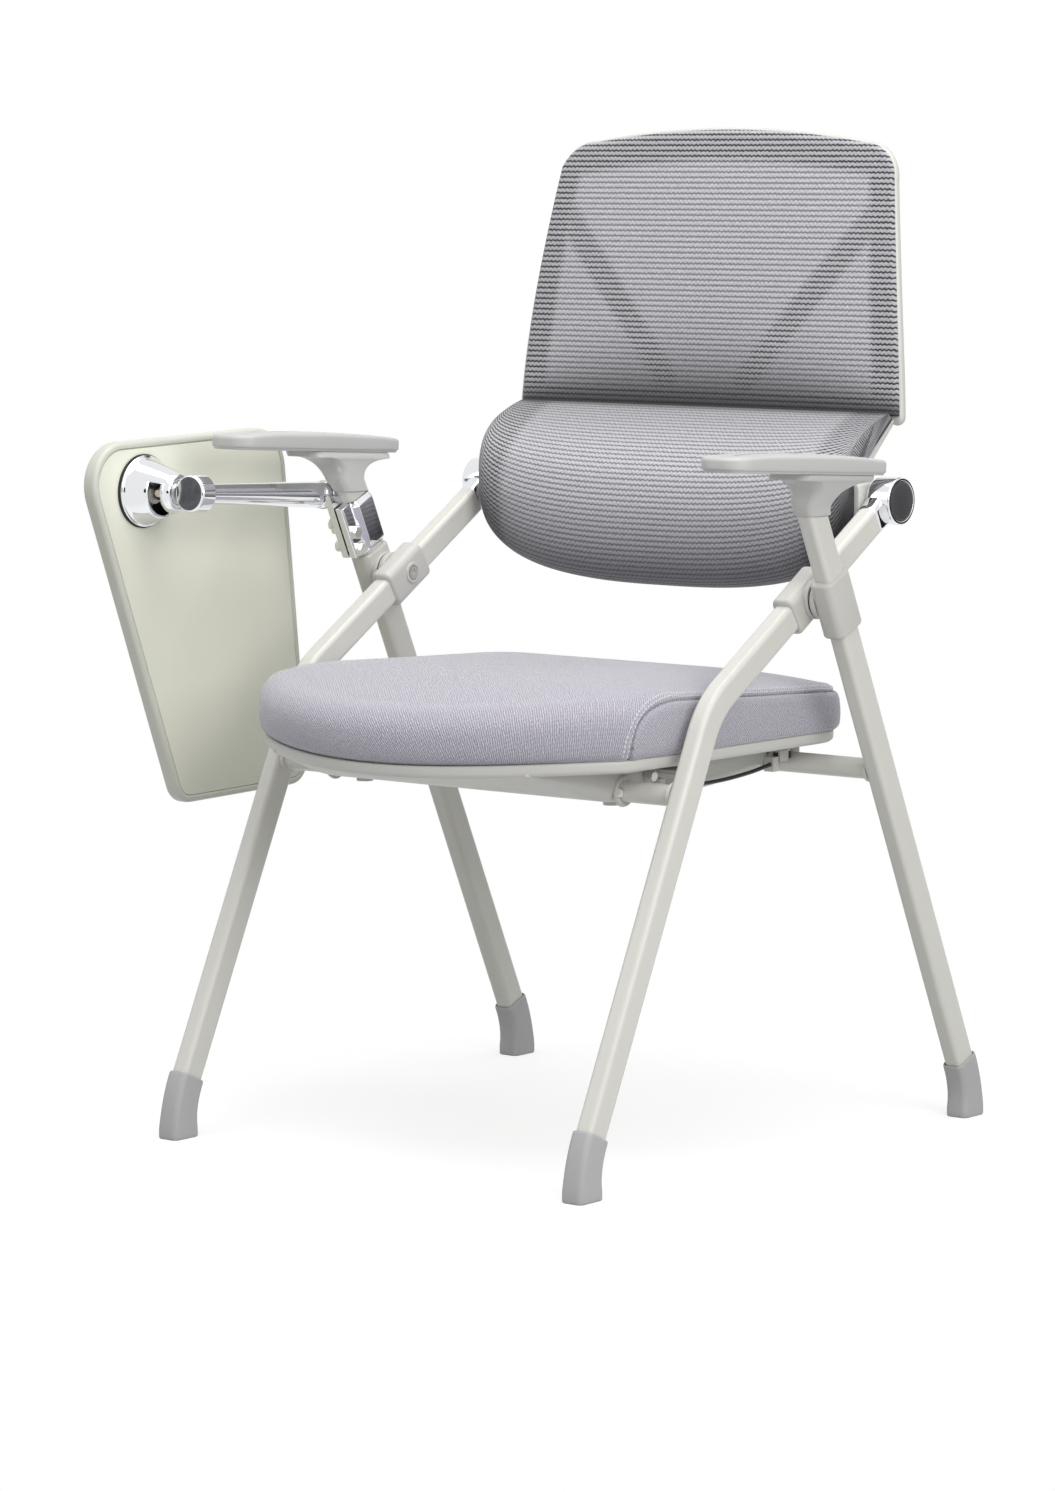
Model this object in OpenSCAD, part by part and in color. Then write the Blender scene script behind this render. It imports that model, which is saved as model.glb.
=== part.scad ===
// Training chair: folding X frame, mesh back with a lumbar roll, and a writing tablet
// on a swing arm. The sitter faces -Y and the floor is Z = 0. Left is the sitter's left.

/* [Frame] */
// Height of the fold pivot above the floor
pivot_h = 522; // [515:1:530]
// Distance of the fold pivot behind the middle of the chair
pivot_y = 52; // [46:1:58]
// Distance between the centres of the two front tubes
front_frame_w = 490; // [486:1:500]
// Sideways distance from a front tube's centre to the rear tube's centre
frame_gap = 36; // [34:0.5:40]
// Lean of the front legs from upright, in degrees
front_lean = 25.4; // [24:0.1:27]
// Lean of the rear legs from upright, in degrees
rear_lean = 24.9; // [23.5:0.1:26]
// Rise of the front tube's upper run above level, in degrees
back_rise = 31.7; // [30:0.1:33]
// Length along the upper run from the fold pivot forward to the bend
bend_back = 175; // [165:1:185]
// Radius of the bend at the tube's centre line
bend_r = 90; // [70:1:110]
// Width of the leg tube across the chair
tube_w = 19; // [18:0.5:20]
// Depth of the leg tube
tube_d = 27; // [25:0.5:29]
// Wall of the leg tube
tube_wall = 1.5; // [1.2:0.1:2]
// Corner radius of the leg tube
tube_r = 5; // [4:0.5:6]
// Diameter of the two crossbars
bar_d = 20; // [18:0.5:21]
// Drop of the front crossbar's axis below the seat cushion's lower edge
front_bar_drop = 36; // [32:1:40]
// Drop of the rear crossbar's axis below the seat cushion's lower edge
rear_bar_drop = 33; // [30:1:36]

/* [Feet] */
// Height of a foot cap
foot_h = 58; // [50:1:64]
// Width of a foot cap's sole
foot_w = 25; // [24:0.5:28]
// Length of a foot cap's sole
foot_l = 38; // [36:1:42]
// Distance of the sole's centre inward of the tube's line at the floor
foot_set = 10; // [8:1:12]

/* [Fold joint] */
// Length of a pivot housing along its tube
housing_l = 58; // [52:1:64]
// Depth of a pivot housing
housing_d = 39; // [36:1:42]
// Width of a pivot housing across the chair
housing_w = 25; // [24:0.5:26]
// Diameter of the round boss between the housings
boss_d = 38; // [34:1:40]
// Gap between the two bosses
boss_gap = 0.8; // [0.5:0.1:1.5]
// Diameter of the fold bolt
fold_bolt_d = 8; // [7:0.5:9]

/* [Backrest] */
// Length along the upper run from the fold pivot to the backrest hinge
hinge_reach = 160.7; // [156:0.5:166]
// Diameter of the hinge barrel
barrel_d = 46; // [42:1:48]
// Diameter of the hinge barrel's end cap
cap_d = 38; // [34:1:40]
// Diameter of the backrest hinge pin
hinge_pin_d = 12; // [10:0.5:14]
// Distance of the back frame's side inside the front tube's centre, at the lumbar roll
back_side_gap = 14; // [13:1:19]
// Distance of the back panel's side inside the front tube's centre, at its foot
panel_side_gap = 10; // [7:1:15]
// Taper of the back panel on each side, from its foot to its top corners
back_taper = 35; // [25:1:50]
// Height of the back panel's foot above the back hinges
panel_foot_rise = 77.56; // [70:0.1:86]
// Height of the back panel from its foot to its top corners
panel_l = 266; // [246:1:286]
// Rise of the top rail's middle above its corners
back_arch = 13; // [6:1:20]
// Corner radius of the back panel's top
back_corner_r = 40; // [30:1:50]
// Distance of the back panel's foot behind the back hinges
panel_foot_back = 38.27; // [34:0.1:43]
// Lean of the back panel at its foot, in degrees
back_lean = 2.6; // [1:0.1:5]
// Radius of the back panel's curve in side view
panel_curve_r = 1530; // [1200:10:2200]
// Width of the back frame's rails
rail_w = 16; // [12:1:22]
// Thickness of the back frame's rails
rail_t = 9; // [7:0.5:11]
// Width of the struts behind the mesh
strut_w = 22; // [14:1:30]
// Depth of the lumbar roll in front of its plate
roll_depth = 41; // [32:1:48]

/* [Arms] */
// Length of an arm pad
pad_l = 244; // [230:1:270]
// Width of an arm pad
pad_w = 53; // [48:1:54]
// Thickness of an arm pad
pad_t = 19; // [16:0.5:22]
// Rise of the arm pads and of the tablet arm towards the front, in degrees
arm_tilt = 3.2; // [2.5:0.1:4]
// Distance of an arm pad's centre outside the rear tube's centre
pad_outset = 15; // [14:0.5:19]
// Distance of an arm pad's centre in front of the middle
pad_fore = 35; // [30:1:46]
// Height of the arm pad's underside above the arm support's foot
pad_rise = 42; // [39:1:45]

/* [Seat] */
// Distance of the seat cushion's side inside the front tube's centre
seat_side_gap = 19; // [17:1:25]
// Distance of the seat's nose in front of the middle
seat_nose = 300; // [285:1:315]
// Distance of the front corners in front of the middle
seat_corner = 191; // [180:1:205]
// Distance of the seat's rear edge behind the middle
seat_rear = 172; // [165:1:180]
// Height of the seat cushion's lower edge
seat_base_h = 388; // [386:1:392]
// Height of the seat's side seam at its highest place
seat_seam_h = 446; // [440:1:452]
// Crown of the seat cushion over its side seam
seat_crown = 11; // [6:1:14]
// Depth of the tray that holds the seat board
tray_t = 12; // [10:1:13]
// Thickness of the seat board
board_t = 8; // [6:0.5:9]

/* [Tablet] */
// Height of the tablet's swivel axis above the arm support's foot
tablet_axis_rise = 7; // [3:1:9]
// Height of the tablet arm's clamp on the rear tube
clamp_h = 51; // [47:1:55]
// Distance of the tablet's swivel axis in front of the middle
tablet_axis_fore = 190; // [186:1:196]
// Distance of the tablet arm's axis outside the rear tube's centre
arm_outset = 22.5; // [21:0.5:25]
// Length from the arm's axis to the tablet's near face
bell_reach = 69; // [68:0.5:74]
// Width of the tablet along its upper edge
tablet_top_w = 296; // [270:1:310]
// Width of the tablet along its lower edge
tablet_low_w = 196; // [170:1:215]
// Height of the tablet
tablet_h = 364; // [340:1:380]
// Thickness of the tablet's rim
tablet_t = 16; // [13:0.5:20]
// Width of the tablet's rim
rim_w = 12; // [9:0.5:16]
// Diameter of the bell's mouth
bell_d = 70; // [62:1:76]
// Diameter of the hub at the end of the arm
hub_d = 37; // [34:0.5:40]
// Diameter of the slim end of the arm
arm_d = 20; // [18:0.5:22]

/* [Hidden] */
$fn = 48;

// Small values that many pieces share
cut = 1;
run_gap = 0.05;
soft_gap = 0.3;
lip = 2;
hull_fn = 32;

// Places in the Y-Z plane, as [y, z]
pivot = [pivot_y, pivot_h];
rise_dir = [cos(back_rise), sin(back_rise)];
front_dir = [sin(front_lean), cos(front_lean)];
rear_dir = [-sin(rear_lean), cos(rear_lean)];
bend = pivot - bend_back * rise_dir;
hinge = pivot + hinge_reach * rise_dir;
housing_fore_share = 0.56;
housing_top_gap = 3.15;
clamp_low_h = pivot_h + ((1 - housing_fore_share) * housing_l + housing_top_gap) * rear_dir[1];
clamp_top_h = clamp_low_h + clamp_h;
support_low_h = clamp_top_h + 2 * lip;
pad_under_h = support_low_h + pad_rise;
tablet_axis_h = support_low_h + tablet_axis_rise;
panel_foot_y = hinge[0] + panel_foot_back;
panel_foot_h = hinge[1] + panel_foot_rise;
panel_top_h = panel_foot_h + panel_l;
function front_at(z) = bend + front_dir * (z - bend[1]) / front_dir[1];
function rear_at(z) = pivot + rear_dir * (z - pivot[1]) / rear_dir[1];
front_bar_h = seat_base_h - front_bar_drop;
rear_bar_h = seat_base_h - rear_bar_drop;
front_bar = front_at(front_bar_h);
rear_bar = rear_at(rear_bar_h);
front_x = front_frame_w / 2;
rear_x = front_x + frame_gap;
back_half_w = front_x - back_side_gap;
panel_half_w = front_x - panel_side_gap;
back_top_half_w = panel_half_w - back_taper;
pad_out = rear_x + pad_outset;
arm_out = rear_x + arm_outset;
seat_w = 2 * (front_x - seat_side_gap);
belly_in = 52;
belly_half = seat_w / 2 - belly_in;

// The chair's middle lies off the origin, because the tablet hangs outside one arm
tablet_face_x = arm_out + bell_reach;
mid_x = (tablet_face_x + tablet_t - pad_out - pad_w / 2) / 2;

module at_mid() { translate([mid_x, 0, 0]) children(); }
module at_left() { at_mid() children(); }
module at_right() { at_mid() mirror([1, 0, 0]) children(); }
module at_both() { at_left() children(); at_right() children(); }

// Stands children on a line in the Y-Z plane: their Z runs along direction d from p
module on_line(p, d) {
  translate([0, p[0], p[1]]) rotate([-atan2(d[0], d[1]), 0, 0]) children();
}
// Turns children's Z to run along +X
module along_x() { rotate([0, 90, 0]) children(); }
// A Y-Z outline extruded from x0 to x1
module side_plate(x0, x1) {
  translate([x0, 0, 0]) rotate([90, 0, 90]) linear_extrude(x1 - x0) children();
}
module rod_x(p, r, x0, x1) { translate([x0, p[0], p[1]]) along_x() cylinder(r = r, h = x1 - x0); }

module round_rect(w, d, r) {
  square([w - 2 * r, d], center = true);
  square([w, d - 2 * r], center = true);
  for (i = [-1, 1], j = [-1, 1]) translate([i * (w / 2 - r), j * (d / 2 - r)]) circle(r = r);
}
module tube_outline() { round_rect(tube_w, tube_d, tube_r); }
module tube_inner_outline() {
  round_rect(tube_w - 2 * tube_wall, tube_d - 2 * tube_wall, tube_r - tube_wall);
}
module tube_section() { difference() { tube_outline(); tube_inner_outline(); } }

// Points of an arc round c, as a list
function arc(c, r, a0, a1, n) =
  [for (i = [0:n]) let (a = a0 + (a1 - a0) * i / n) c + r * [cos(a), sin(a)]];
// A closed outline with each corner of a list rounded to its own radius
function rounded(pts, radii, n) =
  [for (i = [0:len(pts) - 1])
    let (p = pts[i], q = pts[(i + len(pts) - 1) % len(pts)], s = pts[(i + 1) % len(pts)],
         u = (q - p) / norm(q - p), v = (s - p) / norm(s - p), half = acos(u * v) / 2,
         c = p + (u + v) / norm(u + v) * radii[i] / sin(half),
         a = p + u * radii[i] / tan(half) - c, b = p + v * radii[i] / tan(half) - c,
         a0 = atan2(a[1], a[0]), turn = (atan2(b[1], b[0]) - a0 + 540) % 360 - 180)
    for (k = [0:n]) c + radii[i] * [cos(a0 + turn * k / n), sin(a0 + turn * k / n)]];

// Front frame
bend_turn = 90 - back_rise - front_lean;
bend_tangent = bend_r * tan(bend_turn / 2);
bend_centre = bend - bend_tangent * front_dir + bend_r * [cos(front_lean), -sin(front_lean)];
tube_end_h = 38;
neck_l = 34;
bolt_hole_r = fold_bolt_d / 2 + run_gap;

bend_swell = 0.05;
module front_tube_run(inner) {
  low = front_at(tube_end_h);
  low_l = norm(bend - low) - bend_tangent;
  up_l = bend_back - bend_tangent + hinge_reach - neck_l;
  over = inner ? cut : 0;
  on_line(low - over * front_dir, front_dir) linear_extrude(low_l + cut + over) run_outline(inner, 0);
  translate([0, bend_centre[0], bend_centre[1]]) rotate([90, 0, 90])
    rotate([0, 0, 90 + back_rise]) rotate_extrude(angle = bend_turn)
      translate([bend_r, 0]) rotate([0, 0, 90]) run_outline(inner, bend_swell);
  on_line(bend + (bend_tangent - cut) * rise_dir, rise_dir)
    linear_extrude(up_l + cut + over) run_outline(inner, 0);
}
module run_outline(inner, grow) {
  t = inner ? tube_wall - grow : -grow;
  round_rect(tube_w - 2 * t, tube_d - 2 * t, tube_r - t);
}
module front_tube() {
  difference() {
    translate([front_x, 0, 0]) front_tube_run(false);
    translate([front_x, 0, 0]) front_tube_run(true);
    rod_x(pivot, bolt_hole_r, front_x - tube_w, front_x + tube_w);
  }
}
module front_tube_left() { color("#cdcdc6") at_left() front_tube(); }
module front_tube_right() { color("#cdcdc6") at_right() front_tube(); }

bar_r = bar_d / 2;
weld_r = bar_r + 2.5;
weld_w = 3.5;
bar_screw_gap = 5;
bar_screw_x = belly_half + bar_screw_gap;
bar_screw_r = 2.5;
bar_screw_head_r = 4.2;
bar_screw_head_h = 2.4;
bar_screw_l = 14;
bar_wall = 1.8;
front_bar_end = front_x - tube_w / 2;

module crossbar(p, end) {
  difference() {
    union() {
      rod_x(p, bar_r, run_gap - end, end - run_gap);
      for (x = [-end, end - weld_w]) rod_x(p, weld_r, x, x + weld_w);
    }
    rod_x(p, bar_r - bar_wall, -end - cut, end + cut);
  }
}

module bar_screw_holes() {
  for (s = [-1, 1]) translate([s * bar_screw_x, front_bar[0], front_bar[1]])
    rotate([90, 0, 0]) cylinder(r = bar_screw_r, h = bar_d);
}
module front_crossbar() {
  color("#cdcdc6") at_mid() difference() {
    crossbar(front_bar, front_bar_end);
    bar_screw_holes();
  }
}
module front_bar_screws() {
  color("#d8d8d2") at_mid() for (s = [-1, 1])
    translate([s * bar_screw_x, front_bar[0] - bar_r, front_bar[1]]) rotate([90, 0, 0]) {
      difference() {
        cylinder(r = bar_screw_head_r, h = bar_screw_head_h);
        translate([0, 0, bar_screw_head_h / 2]) cylinder(r = bar_screw_r / 2, h = bar_d, $fn = 6);
      }
      translate([0, 0, -bar_screw_l]) cylinder(r = bar_screw_r, h = bar_screw_l);
    }
}

// Foot caps: an upright sole that turns into the leg's lean
foot_r = 6;
sole_h = 12;
foot_wall = 2.2;
module foot_cap(x, line, d, inward) {
  sole_y = line[0] + inward * foot_set;
  difference() {
    hull() {
      translate([x, sole_y, 0]) linear_extrude(sole_h)
        round_rect(foot_w, foot_l, foot_r, $fn = hull_fn);
      translate([x, 0, 0]) on_line(line + d * foot_h / d[1], d) mirror([0, 0, 1])
        linear_extrude(lip)
        round_rect(tube_w + 2 * foot_wall, tube_d + 2 * foot_wall, foot_r, $fn = hull_fn);
    }
    translate([x, 0, 0]) on_line(line + d * tube_end_h / d[1], d) linear_extrude(foot_h)
      tube_outline();
  }
}
module front_foot() { foot_cap(front_x, front_at(0), front_dir, 1); }
module rear_foot() { foot_cap(rear_x, rear_at(0), rear_dir, -1); }
module front_foot_left() { color("#a5a5a7") at_left() front_foot(); }
module front_foot_right() { color("#a5a5a7") at_right() front_foot(); }
module rear_foot_left() { color("#a5a5a7") at_left() rear_foot(); }
module rear_foot_right() { color("#a5a5a7") at_right() rear_foot(); }

// Pivot housings: a sleeve round each tube, with round bosses that face each other
housing_r = 7;
bolt_head_r = 6.5;
bolt_head_h = 5;
bolt_recess_r = 8.5;
front_out_x = front_x + housing_w / 2;
rear_in_x = rear_x - housing_w / 2;
boss_mid_x = (front_out_x + rear_in_x) / 2;
boss_inner_x = boss_mid_x - boss_gap / 2;
boss_outer_x = boss_mid_x + boss_gap / 2;

module sleeve(x, d) {
  translate([x, 0, 0]) on_line(pivot - housing_fore_share * housing_l * d, d)
    linear_extrude(housing_l) difference() {
      round_rect(housing_w, housing_d, housing_r);
      tube_outline();
    }
}
module front_housing() {
  difference() {
    union() {
      sleeve(front_x, rise_dir);
      rod_x(pivot, boss_d / 2, front_out_x - lip, boss_inner_x);
    }
    rod_x(pivot, bolt_hole_r, front_x - tube_w, front_x + tube_w);
    rod_x(pivot, bolt_recess_r, front_x - housing_w, front_x - tube_w / 2);
  }
}
module rear_housing() {
  difference() {
    union() {
      sleeve(rear_x, rear_dir);
      rod_x(pivot, boss_d / 2, boss_outer_x, rear_in_x + lip);
    }
    rod_x(pivot, fold_bolt_d / 2, front_x, rear_x);
  }
}
module front_housing_left() { color("#c0beb8") at_left() front_housing(); }
module front_housing_right() { color("#c0beb8") at_right() front_housing(); }
module rear_housing_left() { color("#c0beb8") at_left() rear_housing(); }
module rear_housing_right() { color("#c0beb8") at_right() rear_housing(); }

fold_bolt_tip = rear_x + tube_w / 2 - tube_wall;
insert_l = 8;
insert_r = 6.5;
module fold_bolts() {
  color("#b8b8b4") at_both() {
    head_x = front_x - tube_w / 2 - run_gap;
    difference() {
      rod_x(pivot, bolt_head_r, head_x - bolt_head_h, head_x);
      translate([0, pivot[0], pivot[1]]) translate([head_x - bolt_head_h - cut, 0, 0]) along_x()
        cylinder(r = bolt_head_r / 2, h = bolt_head_h / 2 + cut, $fn = 6);
    }
    rod_x(pivot, fold_bolt_d / 2, head_x, fold_bolt_tip);
  }
}
insert_x = rear_x - tube_w / 2 + tube_wall;
module fold_inserts() {
  color("#9a9a98") at_both() difference() {
    rod_x(pivot, insert_r, insert_x, insert_x + insert_l);
    rod_x(pivot, fold_bolt_d / 2, insert_x - cut, insert_x + insert_l + cut);
  }
}

// Backrest brackets: a plug and neck on the tube's end, and a barrel across it
barrel_r = barrel_d / 2;
barrel_in = 8.5;
barrel_out = 17;
barrel_in_x = front_x - barrel_in;
barrel_out_x = front_x + barrel_out;
plug_l = 22;
cap_t = 4;
cap_sink = 2.5;
hinge_pin_r = hinge_pin_d / 2;
module back_bracket() {
  root = hinge - neck_l * rise_dir;
  difference() {
    union() {
      translate([front_x, 0, 0]) on_line(root, rise_dir) {
        translate([0, 0, -plug_l]) linear_extrude(plug_l + cut) tube_inner_outline();
        linear_extrude(neck_l) tube_outline();
      }
      rod_x(hinge, barrel_r, barrel_in_x, barrel_out_x);
    }
    rod_x(hinge, hinge_pin_r, barrel_in_x - cut, barrel_out_x + cut);
    rod_x(hinge, cap_d / 2, barrel_out_x - cap_sink, barrel_out_x + cut);
  }
}
module back_bracket_left() { color("#d4d6da") at_left() back_bracket(); }
module back_bracket_right() { color("#d4d6da") at_right() back_bracket(); }
module bracket_caps() {
  color("#444446") at_both()
    rod_x(hinge, cap_d / 2, barrel_out_x - cap_sink, barrel_out_x - cap_sink + cap_t);
}

// Rear frame
tube_top_gap = 10;
rear_top_h = pad_under_h - tube_top_gap;
module rear_tube() {
  low = rear_at(tube_end_h);
  top = rear_at(rear_top_h);
  difference() {
    translate([rear_x, 0, 0]) on_line(low, rear_dir) linear_extrude(norm(top - low))
      tube_section();
    rod_x(pivot, fold_bolt_d / 2, rear_x - tube_w, rear_x);
  }
}
module rear_tube_left() { color("#cdcdc6") at_left() rear_tube(); }
module rear_tube_right() { color("#cdcdc6") at_right() rear_tube(); }
module rear_crossbar() { color("#cdcdc6") at_mid() crossbar(rear_bar, rear_x - tube_w / 2); }

// Arm supports: a socket on the tube that flares into the pad
pad_dir = [cos(arm_tilt), -sin(arm_tilt)];
pad_mid = [-pad_fore, pad_under_h];
function pad_under(y) = pad_mid[1] - tan(arm_tilt) * (y - pad_mid[0]);
support_wall = 2.6;
support_fore = 62;
support_aft = 54;
support_flare_r = 46;
support_top_w = 44;
support_edge = 7;
support_low = rear_at(support_low_h);
support_low_l = tube_d + 2 * support_wall;
support_low_w = tube_w + 2 * support_wall;
function support_side() =
  let (lo = support_low, hw = support_low_l / 2 / cos(rear_lean), neck = 12,
       f0 = lo - [hw, 0], r0 = lo + [hw, 0],
       f1 = f0 + neck * [-tan(rear_lean), 1], r1 = r0 + neck * [-tan(rear_lean), 1],
       fy = lo[0] - support_fore, ry = lo[0] + support_aft,
       ft = [fy, pad_under(fy)], rt = [ry, pad_under(ry)],
       fe = ft - [0, support_edge], re = rt - [0, support_edge],
       fm = [f1[0], fe[1]], rm = [r1[0], re[1]])
  concat([f0, r0],
    [for (i = [0:8]) let (t = i / 8) (1 - t) * (1 - t) * r1 + 2 * t * (1 - t) * rm + t * t * re],
    [rt, ft],
    [for (i = [0:8]) let (t = i / 8) (1 - t) * (1 - t) * fe + 2 * t * (1 - t) * fm + t * t * f1]);
function support_front() =
  let (lo = rear_x, hw = support_low_w / 2, top = pad_out, tw = support_top_w / 2,
       z0 = support_low_h - cut, z1 = support_low_h + support_edge,
       z2 = pad_under(pad_mid[0] - support_fore) + cut)
  [[lo - hw, z0], [lo + hw, z0], [lo + hw, z1],
   [(lo + hw + top + tw) / 2, (z1 + z2) / 2], [top + tw, z2], [top - tw, z2],
   [lo - hw, (z1 + z2) / 2]];
module arm_support() {
  difference() {
    intersection() {
      side_plate(rear_x - tube_d, pad_out + tube_d) polygon(support_side());
      translate([0, support_low[0] + pad_l, 0]) rotate([90, 0, 0])
        linear_extrude(2 * pad_l) polygon(support_front());
    }
    translate([rear_x, 0, 0]) on_line(rear_at(support_low_h - tube_d), rear_dir)
      linear_extrude(norm(rear_at(rear_top_h) - rear_at(support_low_h - tube_d))) tube_outline();
    pad_screw_rods(pad_screw_r);
  }
}
module arm_support_left() { color("#b4b4b2") at_left() arm_support(); }
module arm_support_right() {
  color("#b4b4b2") at_right() difference() {
    arm_support();
    translate([arm_out, 0, 0]) on_line(arm_at(-tube_d), arm_dir)
      cylinder(r = socket_r + soft_gap, h = 4 * tube_d);
  }
}

pad_r = 23;
pad_crown_r = 130;
pad_crown_up = 0.8;
pad_arch_r = 1250;
pad_screw_r = 2.5;
pad_screw_fore = 24;
pad_screw_head_r = 4.5;
pad_screw_head_h = 3;
pad_screw_up = 9;
pad_screw_seat_h = 9;
module on_pad() { translate([pad_out, pad_mid[0], pad_mid[1]]) rotate([-arm_tilt, 0, 0]) children(); }
// The screws stand square to the pad, fore and aft of the tube
pad_screw_y = [support_low[0] - pad_mid[0] - pad_screw_fore - pad_screw_up,
               support_low[0] - pad_mid[0] + pad_screw_fore];
module pad_screw_rods(r) {
  on_pad() for (y = pad_screw_y) translate([0, y, -pad_screw_seat_h])
    cylinder(r = r, h = pad_screw_seat_h + pad_screw_up);
}
module arm_pad() {
  difference() {
    intersection() {
      on_pad() linear_extrude(pad_t + lip) round_rect(pad_w, pad_l, pad_r);
      on_pad() translate([0, pad_l, pad_t + pad_crown_up - pad_crown_r]) rotate([90, 0, 0])
        cylinder(r = pad_crown_r, h = 2 * pad_l, $fn = 96);
      on_pad() translate([-pad_w, 0, pad_t - pad_arch_r]) along_x()
        cylinder(r = pad_arch_r, h = 2 * pad_w, $fn = 720);
    }
    pad_screw_rods(pad_screw_r);
  }
}
module arm_pad_left() { color("#b6b6b4") at_left() arm_pad(); }
module arm_pad_right() { color("#b6b6b4") at_right() arm_pad(); }
module pad_screws() { color("#9a9a98") at_both() pad_screw_rods(pad_screw_r); }

// Tablet clamp on the right rear tube, in two halves with a seam, and the arm's socket
hub_p = [-tablet_axis_fore, tablet_axis_h];
arm_dir = [cos(arm_tilt), -sin(arm_tilt)];
function arm_at(y) = hub_p + arm_dir * (y - hub_p[0]) / arm_dir[0];
clamp_over = 12.5;
clamp_l = (clamp_h + clamp_over) / rear_dir[1];
clamp_d = 46;
clamp_off = -5;
clamp_w = 28;
clamp_r = 5;
clamp_seam = 1.6;
socket_r = 14.5;
socket_y0 = -2;
socket_l = 44;
journal_r = 9;
clamp_bolt_r = 3;
clamp_head_r = 7.2;
clamp_head_h = 5.5;
clamp_bolt_n = -19.5;
clamp_bolt_share = [0.12, 0.47];
clamp_foot = rear_at(clamp_low_h);
seam_x = rear_x + 2;
socket_p0 = arm_at(socket_y0);
module clamp_block() {
  difference() {
    translate([rear_x, 0, 0]) on_line(clamp_foot, rear_dir) linear_extrude(clamp_l) difference() {
      translate([0, clamp_off]) round_rect(clamp_w, clamp_d, clamp_r);
      tube_outline();
    }
    translate([front_x, -pad_l, clamp_top_h]) cube(2 * pad_l);
  }
}
module clamp_bolt_rods(r, x0, x1) {
  for (s = clamp_bolt_share)
    rod_x(clamp_foot + rear_dir * s * clamp_l + clamp_bolt_n * [rear_dir[1], -rear_dir[0]],
      r, x0, x1);
}
module clamp_inner() {
  color("#5a5a60") at_right() difference() {
    clamp_block();
    translate([seam_x - clamp_seam / 2, -pad_l, clamp_low_h - pad_l]) cube(2 * pad_l);
    clamp_bolt_rods(clamp_bolt_r, front_x, arm_out);
  }
}
module clamp_outer() {
  color("#c8cacf") at_right() difference() {
    union() {
      difference() {
        clamp_block();
        translate([seam_x + clamp_seam / 2 - 2 * pad_l, -pad_l, clamp_low_h - pad_l])
          cube(2 * pad_l);
      }
      translate([arm_out, 0, 0]) on_line(socket_p0, arm_dir) cylinder(r = socket_r, h = socket_l);
    }
    translate([arm_out, 0, 0]) on_line(socket_p0 - cut * arm_dir, arm_dir)
      cylinder(r = journal_r + run_gap, h = socket_l + 2 * cut);
    translate([arm_out, 0, 0]) on_line(socket_p0 - clamp_d * arm_dir, arm_dir)
      cylinder(r = arm_big_r + soft_gap, h = clamp_d - socket_gap / 2);
    translate([rear_x, 0, 0]) on_line(clamp_foot, rear_dir) linear_extrude(clamp_l + tube_d)
      tube_outline();
    clamp_bolt_rods(clamp_bolt_r, front_x, arm_out);
  }
}
clamp_in_x = rear_x - clamp_w / 2;
clamp_out_x = rear_x + clamp_w / 2;
module clamp_bolts() {
  color("#b8b8b4") at_right() {
    clamp_bolt_rods(clamp_bolt_r, clamp_in_x, clamp_out_x + clamp_head_h);
    clamp_bolt_rods(clamp_head_r, clamp_in_x - clamp_head_h, clamp_in_x, $fn = 6);
  }
}
module clamp_nuts() {
  color("#9a9a98") at_right() difference() {
    clamp_bolt_rods(clamp_head_r - lip / 2, clamp_out_x, clamp_out_x + clamp_head_h);
    clamp_bolt_rods(clamp_bolt_r, clamp_out_x - cut, clamp_out_x + clamp_head_h + cut);
  }
}

// Tablet arm: a cast rod from the hub to the clamp's socket
hub_l = 20;
arm_big_r = 13.5;
nut_l = 11;
nut_r = 8;
spindle_r = 8;
spindle_sink = 10;
spindle_l = 34;
socket_gap = 0.5;
module at_hub() { translate([arm_out, hub_p[0], hub_p[1]]) children(); }
module tablet_arm() {
  rod_l = norm(socket_p0 - hub_p) - socket_gap;
  color("#c4c6cc") at_right() difference() {
    translate([arm_out, 0, 0]) on_line(hub_p, arm_dir) {
      translate([0, 0, -hub_l / 2]) cylinder(r = hub_d / 2, h = hub_l);
      cylinder(r1 = arm_d / 2, r2 = arm_big_r, h = rod_l);
      cylinder(r = journal_r, h = rod_l + socket_gap + socket_l + nut_l);
    }
    at_hub() translate([hub_d / 2 - spindle_sink, 0, 0]) along_x()
      cylinder(r = spindle_r, h = hub_d);
  }
}
module arm_nut() {
  color("#6a6a6e") at_right() translate([arm_out, 0, 0])
    on_line(socket_p0 + (socket_l + soft_gap) * arm_dir, arm_dir) difference() {
      cylinder(r = nut_r + lip + cut, h = nut_l);
      cylinder(r = journal_r, h = nut_l);
    }
}
bell_x0 = hub_d / 2 + 1;
module swivel_spindle() {
  color("#b8b8b4") at_right() at_hub() difference() {
    translate([hub_d / 2 - spindle_sink, 0, 0]) along_x()
      cylinder(r = spindle_r, h = spindle_sink + cut + spindle_l);
    spindle_screw_rods();
    stop_pin_rod(stop_pin_r);
  }
}
spindle_end_x = hub_d / 2 + cut + spindle_l;
spindle_screw_r = 3;
washer_r = 12;
washer_t = 2;
module spindle_screw_rods() {
  translate([spindle_end_x - spindle_sink, 0, 0]) along_x()
    cylinder(r = spindle_screw_r, h = spindle_sink + cut);
}
module spindle_screw() {
  color("#9a9a98") at_right() at_hub() {
    translate([spindle_end_x - spindle_sink, 0, 0]) along_x()
      cylinder(r = spindle_screw_r, h = spindle_sink);
    translate([spindle_end_x, 0, 0]) along_x() cylinder(r = washer_r, h = washer_t);
  }
}
stop_pin_r = 3.5;
stop_pin_x = bell_x0 + 13;
stop_pin_out = 19;
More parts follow.
